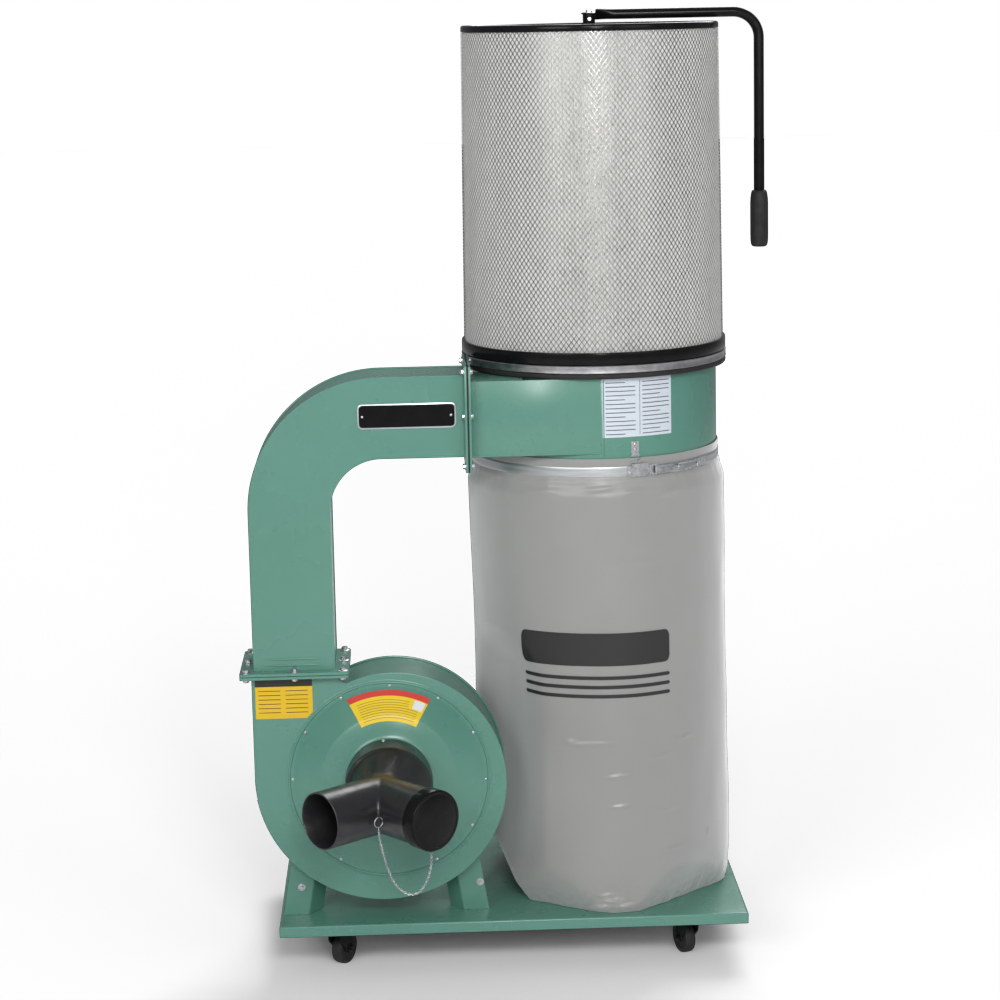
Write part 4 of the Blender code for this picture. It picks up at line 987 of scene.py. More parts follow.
def port_cap():
    """The cap's flat face, rounded edge and skirt, with the lug that takes the chain."""
    way = port_way(1)
    mouth = JUNCTION + way * PORT_LENGTH
    outer = 0.0568
    profile = [(0, 0.0034), (outer - 0.0085, 0.0034), (outer - 0.0075, 0.0030), (outer - 0.0060, 0.0034),
               (outer - 0.0020, 0.0034), (outer - 0.0006, 0.0028), (outer, 0.0014), (outer, -0.0240),
               (outer - 0.0006, -0.0240), (PORT_RADIUS + 0.0004, -0.0240), (PORT_RADIUS + 0.0004, 0.0002),
               (0, 0.0002)]
    shape = bmesh.new()
    lathe(shape, profile, turn_to(way, mouth), 96, closed=False)
    lug = mouth - way * 0.012 - Vector((0, 0, outer - 0.001))
    pipe(shape, [lug, lug - Vector((0, 0, 0.0056))], 0.0028, 14)
    piece("inlet_cap", shape, BLACK, "black_plastic", "inlet_cap", ["port_cap"], sharp=50)


def chain_eye():
    """The open ring that the chain hangs from, in the fork of the ports."""
    shape = bmesh.new()
    centre, radius = at(FAN_X - 0.0182, FRONT_Y - 0.2415, FAN_Z - 0.0085), 0.0093
    loop = oval(centre, Vector((0.80, 0.60, 0)) * radius, Vector((0, 0, radius)), 36)
    pipe(shape, loop, 0.0011, 10, closed=True)
    piece("eye_ring", shape, ZINC, "zinc", replaces=["chain_eye"], sharp=60)


y_connector()
port_cap()
chain_eye()


# ---------------------------------------------------------------- duct


def duct_wall(sweep, start_x):
    """One wall of the duct's side view as (x, z) points, from its foot round to the drum."""
    points = [(start_x, OUTLET_TOP + 0.0022)]
    steps = 48
    for i in range(steps + 1):
        across, up = polar(sweep, 180 - 90 * i / steps)
        points.append((ELBOW_X + across, ELBOW_Z + up))
    points.append((DUCT_END_X, ELBOW_Z + sweep))
    return points


def outer_wall(inset):
    """The duct's left and upper wall."""
    return duct_wall(ELBOW_OUTER - inset, DUCT_LEFT + inset)


def inner_wall(inset):
    """The duct's right and lower wall."""
    return duct_wall(ELBOW_INNER + inset, DUCT_RIGHT - inset)


def elbow_duct():
    """Front and back cheeks with folded edges, and the two curved walls between them."""
    shape = bmesh.new()
    sheet, lap = 0.0022, 0.0014
    for y in (FRONT_Y, BACK_Y - sheet):
        loop_band(shape, outer_wall(0.0008), y, y + sheet, inner_wall(0.0008))
    for wall in (outer_wall, inner_wall):
        loop_band(shape, wall(lap + 0.0010), FRONT_Y + sheet * 0.9, BACK_Y - sheet * 0.9, wall(lap + 0.0032))
    for depth in (FRONT_Y + lap, BACK_Y - lap):
        pipe(shape, [at(x, depth, z) for x, z in outer_wall(lap)], lap, 8)
    foot = OUTLET_TOP + 0.0020
    frame_flange(shape, foot, foot + FLANGE + 0.0008)
    for z in (foot + 0.0150, foot + 0.0270):
        left, right = at(DUCT_LEFT + 0.022, FRONT_Y, z), at(DUCT_RIGHT - 0.022, FRONT_Y, z)
        points = [left.lerp(right, i / 16) for i in range(17)]
        radii = [0.0024 * min(1.0, 0.25 + 3 * min(i, 16 - i) / 16) for i in range(17)]
        pipe(shape, points, radii, 10)
    end_flange(shape, DUCT_END_X - FLANGE, DUCT_END_X)
    piece("duct_shell", shape, GREEN, "green_paint", replaces=["elbow_duct"])


def end_flange(shape, x_low, x_high, top=0.019, bevel=0.0008):
    """The upright flange between the duct and the drum, open in the middle."""
    front, back = (FRONT_Y - FLANGE_WIDTH, FRONT_Y + 0.002), (BACK_Y - 0.002, BACK_Y + FLANGE_WIDTH)
    between = (FRONT_Y + 0.001, BACK_Y - 0.001)
    z_low = ELBOW_Z + ELBOW_INNER - FLANGE_WIDTH
    z_high = ELBOW_Z + ELBOW_OUTER + top
    z_in, z_out = ELBOW_Z + ELBOW_INNER + 0.002, ELBOW_Z + ELBOW_OUTER - 0.014
    for (y_low, y_high), bottom, top_z in ((front, z_low, z_high), (back, z_low, z_high),
                                           (between, z_low, z_in), (between, z_out, z_high)):
        block(shape, at(x_low, y_low, bottom), at(x_high, y_high, top_z), bevel)


def duct_fasteners():
    """Bolts and nuts through the upright flange."""
    shape = bmesh.new()
    y_front, y_back = FRONT_Y - 0.014, BACK_Y + 0.014
    for z in (0.9950, 1.0900, 1.1740):
        for y in (y_front, y_back):
            hex_head(shape, at(DUCT_END_X - FLANGE, y, z), (-1, 0, 0), 0.0080, 0.0042, spin=12)
            hex_head(shape, at(INLET_FACE_X + FLANGE, y, z), (1, 0, 0), 0.0075, 0.0036, spin=33)
    piece("drum_joint_bolts", shape, ZINC, "zinc")


def nameplate():
    """A blank plate: black face inside of a bright raised border, with a rivet at each end."""
    x_low, x_high, z_low, z_high = -0.4620, -0.2770, 1.0680, 1.1155
    middle_x, middle_z = (x_low + x_high) / 2, (z_low + z_high) / 2
    half_w, half_h = (x_high - x_low) / 2, (z_high - z_low) / 2
    place = face_front(middle_x, FRONT_Y - 0.0004, middle_z)
    shape = bmesh.new()
    slab(shape, rounded(rectangle(-half_w, half_w, -half_h, half_h), 0.009), 0.0011, place, 0.0004, 2)
    piece("plate_border", shape, STRAP, "nameplate", replaces=["nameplate"])
    shape = bmesh.new()
    inset = 0.0026
    slab(shape, rounded(rectangle(inset - half_w, half_w - inset, inset - half_h, half_h - inset), 0.0070),
         0.0003, place @ Matrix.Translation((0, 0, 0.0010)), 0.0001, 1)
    piece("plate_face", shape, BLACK, "nameplate")
    shape = bmesh.new()
    for side in (-1, 1):
        pan_head(shape, place @ Vector((side * (half_w - 0.009), 0, 0.0012)), (0, -1, 0), 0.0026, 0.0016)
    piece("plate_rivets", shape, ZINC, "zinc")


elbow_duct()
duct_fasteners()
nameplate()


# ---------------------------------------------------------------- drum, band and latch


def around(radius, degrees, z):
    """A point on the drum's front, degrees to the right of straight ahead."""
    angle = math.radians(degrees)
    return at(radius * math.sin(angle), -radius * math.cos(angle), z)


def drum():
    """Rolled wall with a turned lower edge and top ring, and the tangent inlet welded to it."""
    profile = [(0.205, DRUM_TOP), (DRUM_RADIUS - 0.003, DRUM_TOP), (DRUM_RADIUS - 0.0008, DRUM_TOP - 0.0008),
               (DRUM_RADIUS, DRUM_TOP - 0.003), (DRUM_RADIUS, 1.0085), (DRUM_RADIUS + 0.0002, 1.0060),
               (DRUM_RADIUS, 1.0035), (DRUM_RADIUS, DRUM_BOTTOM + 0.001), (DRUM_RADIUS - 0.001, DRUM_BOTTOM),
               (DRUM_RADIUS - 0.002, DRUM_BOTTOM + 0.001), (DRUM_RADIUS - 0.002, DRUM_TOP - 0.002),
               (0.205, DRUM_TOP - 0.002)]
    turned("drum_shell", profile, ON_DRUM_AXIS, FINE_STEPS, GREEN, "green_paint", replaces=["drum"])
    shape = bmesh.new()
    low, high, sheet = ELBOW_Z + ELBOW_INNER, DRUM_TOP - 0.0006, 0.0022
    block(shape, at(INLET_FACE_X, FRONT_Y - 0.0004, low), at(-0.004, FRONT_Y + sheet, high), 0.0008)
    block(shape, at(INLET_FACE_X, BACK_Y - sheet, low), at(-0.212, BACK_Y, high), 0.0008)
    for z in (low, high - sheet):
        block(shape, at(INLET_FACE_X, FRONT_Y + 0.001, z), at(-0.150, BACK_Y - 0.001, z + sheet), 0.0006)
    fold = [at(x, FRONT_Y + 0.0006, low + 0.0006) for x in (INLET_FACE_X + 0.004, -0.006)]
    pipe(shape, fold, 0.0018, 10)
    end_flange(shape, INLET_FACE_X, INLET_FACE_X + FLANGE, 0.018)
    piece("drum_inlet", shape, GREEN, "green_paint")
    shape = bmesh.new()
    seam = [at(0.0010, -DRUM_RADIUS - 0.0001, z) for z in (1.004, 1.060, 1.110, DRUM_TOP - 0.004)]
    pipe(shape, seam, 0.0011, 8)
    piece("drum_seam", shape, GREEN, "green_paint")


def gaskets():
    """The rubber sheets between the flanges."""
    shape = bmesh.new()
    frame_flange(shape, OUTLET_TOP + 0.0009, OUTLET_TOP + 0.0019, 0.002)
    piece("foot_seal", shape, RUBBER, "black_rubber", replaces=["foot_gasket"])
    shape = bmesh.new()
    end_flange(shape, DUCT_END_X + 0.0002, INLET_FACE_X - 0.0002, 0.018, 0.0)
    piece("side_seal", shape, RUBBER, "black_rubber", replaces=["side_gasket"])


def bag_band():
    """The strap, a closed ring rolled slightly hollow."""
    inner = BAND_RADIUS - 0.0014
    profile = [(BAND_RADIUS - 0.0004, BAND_LOW), (BAND_RADIUS, BAND_LOW + 0.0012),
               (BAND_RADIUS - 0.0003, BAND_LOW + 0.0060), (BAND_RADIUS - 0.0003, BAND_HIGH - 0.0060),
               (BAND_RADIUS, BAND_HIGH - 0.0012), (BAND_RADIUS - 0.0004, BAND_HIGH), (inner, BAND_HIGH),
               (inner, BAND_LOW)]
    turned("band_strap", profile, ON_DRUM_AXIS, FINE_STEPS, STRAP, "zinc", replaces=["bag_band"])


def curved_plate(shape, inner, outer, first, last, low, high, taper=None, steps=16):
    """A plate that follows the drum between two bearings; taper narrows its far end."""
    middle, half = (low + high) / 2, (high - low) / 2
    rows = []
    for i in range(steps + 1):
        t = i / steps
        bearing = first + (last - first) * t
        reach = half * (taper(t) if taper else 1.0)
        low_end, high_end = middle - reach, middle + reach
        corners = ((inner, low_end), (outer - 0.0005, low_end), (outer, low_end + 0.0005),
                   (outer, high_end - 0.0005), (outer - 0.0005, high_end), (inner, high_end))
        rows.append([shape.verts.new(around(radius, bearing, z)) for radius, z in corners])
    bridge(shape, rows)
    shape.faces.new(rows[0])
    shape.faces.new(rows[-1])


CLAMP_MIDDLE = (BAND_LOW + BAND_HIGH) / 2
CLAMP_RADIUS = BAND_RADIUS + 0.0004


def flat_rivet(shape, radius, bearing, z, head, height):
    """A rivet head that stands out from the drum."""
    pan_head(shape, around(radius, bearing, z), around(1, bearing, 0) - AXIS, head, height)


def latch_saddle():
    """The clamp's fixed plate, with its folded edges, rivets and hinge knuckles."""
    middle, inner = CLAMP_MIDDLE, CLAMP_RADIUS
    shape = bmesh.new()
    curved_plate(shape, inner, inner + 0.0014, 10.5, 22.0, BAND_LOW - 0.0012, BAND_HIGH + 0.0006)
    curved_plate(shape, inner, inner + 0.0030, 12.6, 20.6, BAND_HIGH - 0.0030, BAND_HIGH + 0.0055)
    curved_plate(shape, inner, inner + 0.0030, 12.6, 20.6, BAND_LOW - 0.0016, BAND_LOW + 0.0022)
    for z in (middle - 0.0035, middle + 0.0035):
        flat_rivet(shape, inner + 0.0014, 11.6, z, 0.0022, 0.0014)
    for z in (middle - 0.0068, middle + 0.0068):
        knuckle = [around(inner + 0.0042, 21.0, z - 0.0018), around(inner + 0.0042, 21.0, z + 0.0018)]
        pipe(shape, knuckle, 0.0024, 12)
    piece("latch_saddle", shape, ZINC, "zinc", replaces=["latch_bracket"])


def latch_lever():
    """The clamp's lever: a ribbed plate that narrows to a nose, with two cheeks and a pivot."""
    middle, inner = CLAMP_MIDDLE, CLAMP_RADIUS
    shape = bmesh.new()
    low_lever, high_lever = middle - 0.0083, middle + 0.0083

    def nose(t):
        return 1.0 if t < 0.55 else 1.0 - 0.62 * min(1.0, (t - 0.55) / 0.12)

    curved_plate(shape, inner + 0.0034, inner + 0.0050, 24.0, 39.5, low_lever, high_lever, nose, 28)
    for z in (low_lever, high_lever - 0.0012):
        curved_plate(shape, inner + 0.0012, inner + 0.0046, 24.4, 32.5, z, z + 0.0012)
    pivot = around(inner + 0.0050, 23.8, middle)
    pipe(shape, [pivot - Vector((0, 0, 0.0090)), pivot + Vector((0, 0, 0.0090))], 0.0022, 16)
    for z in (middle - 0.0025, middle + 0.0025):
        rib = [around(inner + 0.0052, 25.5 + 0.75 * i, z) for i in range(15)]
        pipe(shape, rib, 0.0007, 6)
    piece("latch_lever_pressing", shape, ZINC, "zinc", "lever", ["latch_lever"])


def latch_wire():
    """The wire bail from the lever to the catch."""
    shape = bmesh.new()
    knuckle = around(CLAMP_RADIUS + 0.0090, 35.0, CLAMP_MIDDLE)
    hook = around(CLAMP_RADIUS + 0.0068, 47.5, CLAMP_MIDDLE)
    rise = Vector((0, 0, 0.0066))
    inward = (hook - knuckle).normalized()
    loop = [knuckle - rise, hook - rise - inward * 0.003, hook - rise * 0.8, hook + rise * 0.8,
            hook + rise - inward * 0.003, knuckle + rise]
    pipe(shape, loop, 0.0011, 10, closed=True)
    piece("latch_wire", shape, ZINC, "zinc", "bail", ["latch_bail"], sharp=60)


def latch_catch():
    """The catch on the strap's other end: a plate with a round end, and the roll the bail hooks on."""
    middle, inner = CLAMP_MIDDLE, CLAMP_RADIUS
    shape = bmesh.new()

    def round_end(t):
        return math.sqrt(max(0.0, 1 - max(0.0, (t - 0.55) / 0.45) ** 2)) * 0.98 + 0.02

    curved_plate(shape, inner, inner + 0.0018, 49.5, 59.0, middle - 0.0088, middle + 0.0088, round_end, 24)
    catch = [around(inner + 0.0036, 49.9, middle - 0.0060), around(inner + 0.0036, 49.9, middle + 0.0060)]
    pipe(shape, catch, 0.0020, 12)
    piece("latch_catch", shape, ZINC, "zinc", replaces=["latch_hook"])


def hanger_strip():
    """The strip riveted to the drum that the clamp hangs from."""
    shape = bmesh.new()
    wall = DRUM_RADIUS + 0.0003
    curved_plate(shape, wall, wall + 0.0012, 12.7, 16.3, HEM_TOP + 0.0012, 1.0315, steps=6)
    for z in (1.0260, 1.0150):
        flat_rivet(shape, wall + 0.0012, 14.5, z, 0.0030, 0.0018)
    for z, depth in ((1.0042, 0.0030), (0.9975, 0.0042), (0.9915, 0.0050)):
        curved_plate(shape, wall + depth - 0.0030, wall + depth, 12.3, 16.7, z - 0.0014, z + 0.0022, steps=6)
    piece("hanger_strip", shape, ZINC, "zinc", replaces=["bag_hanger"])


drum()
gaskets()
bag_band()
latch_saddle()
latch_lever()
latch_wire()
latch_catch()
hanger_strip()


# ---------------------------------------------------------------- bag


BAG_HEIGHTS = (0.1044, 0.125, 0.180, 0.260, 0.450, 0.660, 0.925, 0.955, 0.9655, HEM_TOP)
BAG_RADII = (0.2470, 0.2510, 0.2545, 0.2540, 0.2525, 0.2505, 0.2520, 0.2450, 0.2412, 0.2412)
BAG_FOOT_EDGES = (  # bearing of each straight edge of the foot, its reach, and its growth with height
    (180, 0.1600, 0.65), (-123, 0.2150, 0.50), (-48, 0.2140, 0.45), (48, 0.2140, 0.45), (123, 0.2150, 0.50))
BAG_CREASES = (  # bearing and height of each sideways pull, its width, half length and depth
    (-101, 0.446, 0.0035, 0.060, 0.0022), (-108, 0.450, 0.0040, 0.016, 0.0020),
    (-87, 0.381, 0.0035, 0.034, 0.0022), (-86, 0.321, 0.0035, 0.030, 0.0022),
    (-68, 0.414, 0.0035, 0.028, 0.0014), (-65, 0.307, 0.0035, 0.022, 0.0014),
    (-61, 0.226, 0.0040, 0.030, 0.0016), (-54, 0.444, 0.0035, 0.022, 0.0012),
    (-96, 0.118, 0.0040, 0.026, 0.0040), (-89, 0.131, 0.0035, 0.024, 0.0036),
    (-93, 0.143, 0.0030, 0.018, 0.0026), (-84, 0.119, 0.0035, 0.020, 0.0030),
    (-97, 0.560, 0.0040, 0.050, 0.0008), (-80, 0.800, 0.0060, 0.060, 0.0010),
    (-92, 0.944, 0.0050, 0.040, 0.0020), (-76, 0.936, 0.0050, 0.030, 0.0014),
    (-118, 0.938, 0.0050, 0.050, 0.0014), (-60, 0.930, 0.0050, 0.030, 0.0014),
    (60, 0.420, 0.0040, 0.050, 0.0018), (95, 0.350, 0.0040, 0.060, 0.0020),
    (130, 0.520, 0.0040, 0.040, 0.0016), (20, 0.330, 0.0040, 0.040, 0.0016))


CREASE_STRENGTH = 1.7
DENT_WAY = math.atan2(-0.108, -0.195)
DENT_REACH, DENT_HEIGHT, DENT_HALF, DENT_CURVE = 0.2250, 0.39, 0.17, 4.0
BAG_LEAN = 0.006


def soft_least(a, b, blend):
    """The smaller of two lengths, rounded off where they meet."""
    t = max(blend - abs(a - b), 0.0) / blend
    return min(a, b) - t * t * blend / 4


def bag_radius(angle, z):
    """Distance of the film from the drum's axis in a direction and at a height."""
    for i in range(len(BAG_HEIGHTS) - 1):
        if z <= BAG_HEIGHTS[i + 1]:
            break
    t = max(0.0, min(1.0, (z - BAG_HEIGHTS[i]) / (BAG_HEIGHTS[i + 1] - BAG_HEIGHTS[i])))
    t = t * t * (3 - 2 * t)
    radius = BAG_RADII[i] + (BAG_RADII[i + 1] - BAG_RADII[i]) * t
    for bearing, reach, slope in BAG_FOOT_EDGES:
        facing = math.cos(angle - math.radians(bearing))
        if facing > 0.3:
            radius = soft_least(radius, (reach + slope * (z - BAG_HEIGHTS[0])) / facing, 0.010)
    facing = math.cos(angle - DENT_WAY)
    if facing > 0.5:
        away = max(0.0, abs(z - DENT_HEIGHT) - DENT_HALF)
        radius = soft_least(radius, (DENT_REACH + DENT_CURVE * away * away) / facing, 0.016)
    return radius


def creases(angle, z):
    """Small pulls and ridges of the film, fine crumples at its foot and soft folds under the band."""
    x, y = math.cos(angle), math.sin(angle)

    def ripple(round_scale, height_scale):
        return noise.noise(Vector((x * round_scale, y * round_scale, z * height_scale)))

    value = 0.0
    for bearing, height, width, length, depth in BAG_CREASES:
        turned = (angle - math.radians(bearing) + math.pi) % (2 * math.pi) - math.pi
        dx = turned * 0.25 / length
        dz = (z - height - 0.0012 * math.sin(2.5 * dx)) / width
        if abs(dx) < 2.5 and abs(dz) < 3:
            value += CREASE_STRENGTH * depth * math.exp(-2 * dx * dx - dz * dz)
    value += 0.0022 * ripple(2.2, 3.0) + 0.0008 * ripple(5.0, 9.0)
    gather = max(0.0, 1 - abs(z - 0.955) / 0.06)
    value += 0.0010 * gather * gather * ripple(14, 12)
    hem = max(0.0, min(1.0, (z - BAND_HIGH) / 0.012))
    value += hem * (0.0005 + 0.0013 * noise.noise(Vector((x * 7, y * 7, 0.4))))
    foot = max(0.0, 1 - (z - BAG_HEIGHTS[0]) / 0.07)
    value += 0.0040 * foot * foot * ripple(9, 22) + 0.0016 * foot * ripple(24, 90)
    held = max(0.0, 1 - abs(z - (BAND_LOW + BAND_HIGH) / 2) / 0.013)
    return value * (1 - held)


def film_point(angle, z, lift=0.0):
    """A point of the film; the whole bag leans a little to the right below the band."""
    radius = bag_radius(angle, z) + creases(angle, z) + lift
    lean = BAG_LEAN * math.sin(math.pi * min(1.0, max(0.0, (HEM_TOP - z - 0.035) / 0.5)) / 2)
    return at(radius * math.cos(angle) + lean, radius * math.sin(angle), z)


def dust_bag():
    """One layer of film from the hem down to the plate, closed across the bottom."""
    shape = bmesh.new()
    around_count, levels = 540, 300
    bottom, top = PLATE_TOP + 0.0010, HEM_TOP
    rows = []
    for k in range(levels + 1):
        z = bottom + (top - bottom) * (k / levels) ** 1.15
        rows.append([shape.verts.new(film_point(math.tau * i / around_count, z))
                     for i in range(around_count)])
    foot = rows[0]
    for ring in range(1, 9):
        row = []
        for vert in foot:
            offset = (vert.co - AXIS) * (1 - ring / 9)
            lift = 0.0015 * (1 + noise.noise(Vector((offset.x * 20, offset.y * 20, 0))))
            row.append(shape.verts.new(at(offset.x, offset.y, bottom + lift)))
        rows.insert(0, row)
    bridge(shape, rows)
    shape.faces.new(rows[0])
    bag = piece("bag_film", shape, FILM, "bag_film", replaces=["dust_bag"], sharp=70)


dust_bag()


# ---------------------------------------------------------------- filter canister


def canister_rings():
    """The rubber seal on the drum, the clamping strap and the canister's foot ring."""
    base = DRUM_TOP + 0.0004
    seal = [(0.2100, base + 0.0086), (0.2560, base + 0.0100), (0.2578, base + 0.0090),
            (0.2584, base + 0.0055), (0.2578, base + 0.0015), (0.2565, base + 0.0002),
            (0.2100, base + 0.0002)]
    turned("canister_seal", seal, ON_DRUM_AXIS, FINE_STEPS, RUBBER, "black_rubber",
           replaces=["canister_gasket"])
    low, high = base + 0.0106, 1.1790
    strap = [(RING_RADIUS - 0.0008, low), (RING_RADIUS, low + 0.0010), (RING_RADIUS - 0.0004, low + 0.0050),
             (RING_RADIUS - 0.0004, high - 0.0050), (RING_RADIUS, high - 0.0010),
             (RING_RADIUS - 0.0008, high), (0.2540, high), (0.2540, low)]
    turned("canister_strap", strap, ON_DRUM_AXIS, FINE_STEPS, STEEL, "zinc", replaces=["canister_band"])
    rim = [(0.2530, CAGE_LOW - 0.0004), (0.2558, CAGE_LOW - 0.0004), (0.2574, CAGE_LOW - 0.0010),
           (0.2578, CAGE_LOW - 0.0030), (0.2578, 1.1830), (0.2570, 1.1812), (0.2528, 1.1810),
           (0.2528, base + 0.0092), (0.2100, base + 0.0092), (0.2100, base + 0.0110),
           (0.2506, base + 0.0110), (0.2506, CAGE_LOW - 0.0008)]
    turned("canister_foot", rim, ON_DRUM_AXIS, FINE_STEPS, BLACK, "black_paint",
           replaces=["canister_base"])


def cage():
    """Expanded mesh: staggered diamond holes between ridged strands."""
    columns, rows = 162, 90
    strand, relief = 0.0019, 0.00012
    pitch_z = (CAGE_HIGH - CAGE_LOW) / rows
    shape_verts, faces = [], []

    def radius_at(z):
        t = (z - CAGE_LOW) / (CAGE_HIGH - CAGE_LOW)
        return CAGE_RADIUS_LOW + (CAGE_RADIUS_HIGH - CAGE_RADIUS_LOW) * t

    def point(turn, z, depth):
        z = min(max(z, CAGE_LOW), CAGE_HIGH - 0.0004)
        x, y = polar(radius_at(z) - 0.0002 - depth, turn)
        shape_verts.append(at(x, y, z))
        return len(shape_verts) - 1

    step = 360 / columns
    mean_width = 2 * math.pi * (CAGE_RADIUS_LOW + CAGE_RADIUS_HIGH) / 2 / columns
    knots = {}

    def knot(column, row):
        key = (column % (2 * columns), row)
        if key not in knots:
            knots[key] = point(step * column / 2, CAGE_LOW + pitch_z * row, 0.0)
        return knots[key]

    hole_w = 1 - 1.35 * strand / mean_width
    hole_h = 1 - 1.60 * strand / (2 * pitch_z)
    for row in range(-1, rows):
        for column in range(columns):
            middle = 2 * column + (row % 2)
            turn, z = step * middle / 2, CAGE_LOW + pitch_z * (row + 1)
            if z < CAGE_LOW - 0.5 * pitch_z or z > CAGE_HIGH + 0.5 * pitch_z:
                continue
            outer = [knot(middle + 1, row + 1), knot(middle, row + 2),
                     knot(middle - 1, row + 1), knot(middle, row)]
            inner = []
            for k in range(8):
                across, up = polar(1.0, 45 * k)
                sharpen = 0.78 if k % 2 else 1.0
                inner.append(point(turn + step / 2 * hole_w * across * sharpen,
                                   z + pitch_z * hole_h * up * sharpen, relief))
            for k in range(4):
                a, b, c = inner[2 * k], inner[2 * k + 1], inner[(2 * k + 2) % 8]
                faces.append((outer[k], outer[(k + 1) % 4], b))
                faces.append((outer[k], b, a))
                faces.append((b, outer[(k + 1) % 4], c))
    mesh = bpy.data.meshes.new("cage_mesh")
    mesh.from_pydata([tuple(v) for v in shape_verts], [], faces)
    mesh.validate()
    shape = bmesh.new()
    shape.from_mesh(mesh)
    bpy.data.meshes.remove(mesh)
    flat = [face for face in shape.faces if face.calc_area() < 1e-9]
    bmesh.ops.delete(shape, geom=flat, context="FACES")
    piece("cage_net", shape, CAGE, "cage_mesh", replaces=["filter_cage"], sharp=30)


def pleats():
    """The filter's pleats, close behind the net and tapering with it."""
    shape = bmesh.new()
    count, depth, film = 230, 0.0060, 0.0010
    low, high = CAGE_LOW - 0.004, CAGE_HIGH - 0.001
    loops = []
    for z, outer, grow in ((low, CAGE_RADIUS_LOW, 0.0), (high, CAGE_RADIUS_HIGH, 0.0),
                           (high, CAGE_RADIUS_HIGH, film), (low, CAGE_RADIUS_LOW, film)):
        row = []
        for i in range(2 * count):
            radius = outer - 0.0022 - (0.0 if i % 2 else depth) - grow
            x, y = polar(radius, 180 / count * i)
            row.append(shape.verts.new(at(x, y, z)))
        loops.append(row)
    bridge(shape, loops + loops[:1])
    piece("filter_media", shape, MEDIA, "filter_media", replaces=["filter_pleats"], sharp=20)


def lid():
    """Dished steel lid with a rolled rim and a bearing plate in the middle."""
    top, edge = LID_TOP, CAGE_RADIUS_HIGH
    profile = [(0.0105, top - 0.0042), (0.0300, top - 0.0042), (0.0310, top - 0.0030),
               (0.0450, top - 0.0030), (0.0470, top - 0.0042), (0.2300, top - 0.0042),
               (0.2345, top - 0.0036), (0.2375, top - 0.0010)]
    for i in range(7):
        across, up = polar(1.0, 150 - 150 * i / 6)
        profile.append((0.2435 + 0.0045 * across, top - 0.0045 + 0.0045 * up))
    profile += [(edge, CAGE_HIGH + 0.0010), (edge - 0.0004, CAGE_HIGH), (0.2345, CAGE_HIGH),
                (0.2345, top - 0.0060), (0.0105, top - 0.0060)]
    turned("lid_pressing", profile, ON_DRUM_AXIS, FINE_STEPS, BLACK, "black_paint",
           replaces=["canister_lid"], sharp=50)


def crank_hub():
    """The turned hub with a set screw in its side and a bolt on top."""
    low, high = LID_TOP - 0.0036, 1.8305
    hub = [(0, high), (0.0090, high), (0.0130, high - 0.0004), (0.0150, high - 0.0014),
           (0.0150, high - 0.0030), (0.0120, high - 0.0040), (0.0118, low + 0.0050), (0.0140, low + 0.0035),
           (0.0140, low), (0.0086, low), (0.0086, high - 0.006), (0, high - 0.006)]
    turned("hub_cap", hub, ON_DRUM_AXIS, 64, BLACK, "black_paint", closed=False, body="agitator",
           replaces=["crank_hub"], sharp=45)
    shape = bmesh.new()
    hex_head(shape, at(0, -0.0118, 1.8180), (0, -1, 0), 0.0070, 0.0040, washer=False)
    hex_head(shape, at(0, 0, high), (0, 0, 1), 0.0100, 0.0045, washer=False)
    piece("hub_bolts", shape, ZINC, "zinc", "agitator")


def crank_arm():
    """The tube, flattened where it meets the hub and bent down to the grip, and the grip's spindle."""
    shape = bmesh.new()
    points = [at(0.0122, 0, ARM_Z)]
    flat = [(1.45, 0.30)]
    for i in range(1, 8):
        t = i / 7
        points.append(at(0.0122 + 0.040 * t, 0, ARM_Z))
        ease = t * t * (3 - 2 * t)
        flat.append((1.45 - 0.45 * ease, 0.30 + 0.70 * ease))
    points.append(at(0.150, 0, ARM_Z))
    flat.append((1.0, 1.0))
    for i in range(17):
        across, up = polar(ARM_BEND, 90 - 90 * i / 16)
        points.append(at(ARM_REACH - ARM_BEND + across, 0, ARM_Z - ARM_BEND + up))
        flat.append((1.0, 1.0))
    points.append(at(ARM_REACH, 0, GRIP_HIGH + 0.0006))
    flat.append((1.0, 1.0))
    pipe(shape, points, ARM_TUBE - 0.0002, 28, squash=flat)
    pipe(shape, [at(ARM_REACH, 0, GRIP_HIGH + 0.0004), at(ARM_REACH, 0, GRIP_LOW + 0.006)], 0.0048, 20)
    piece("crank_tube", shape, BLACK, "black_paint", "agitator", ["crank_arm"], sharp=50)


def crank_grip():
    """The moulded grip, a little fuller in the middle."""
    grip = [(0, GRIP_LOW + 0.004), (0.0070, GRIP_LOW + 0.0010), (0.0110, GRIP_LOW),
            (0.0140, GRIP_LOW + 0.0012), (0.0158, GRIP_LOW + 0.0050), (0.0166, GRIP_LOW + 0.0120),
            (GRIP_RADIUS, GRIP_LOW + 0.0240), (GRIP_RADIUS, GRIP_HIGH - 0.0240),
            (0.0164, GRIP_HIGH - 0.0140), (0.0150, GRIP_HIGH - 0.0050), (0.0138, GRIP_HIGH - 0.0012),
            (0.0122, GRIP_HIGH), (0.0054, GRIP_HIGH)]
    turned("grip_moulding", grip, Matrix.Translation(at(ARM_REACH, 0, 0)), 64, RUBBER, "black_rubber",
           closed=False, body="grip", replaces=["crank_grip"], sharp=45)


canister_rings()
cage()
pleats()
lid()
crank_hub()
crank_arm()
crank_grip()


# ---------------------------------------------------------------- motor


MOTOR_AXIS = Matrix.Translation(at(FAN_X, 0, FAN_Z)) @ Matrix.Rotation(math.radians(-90), 4, "X")


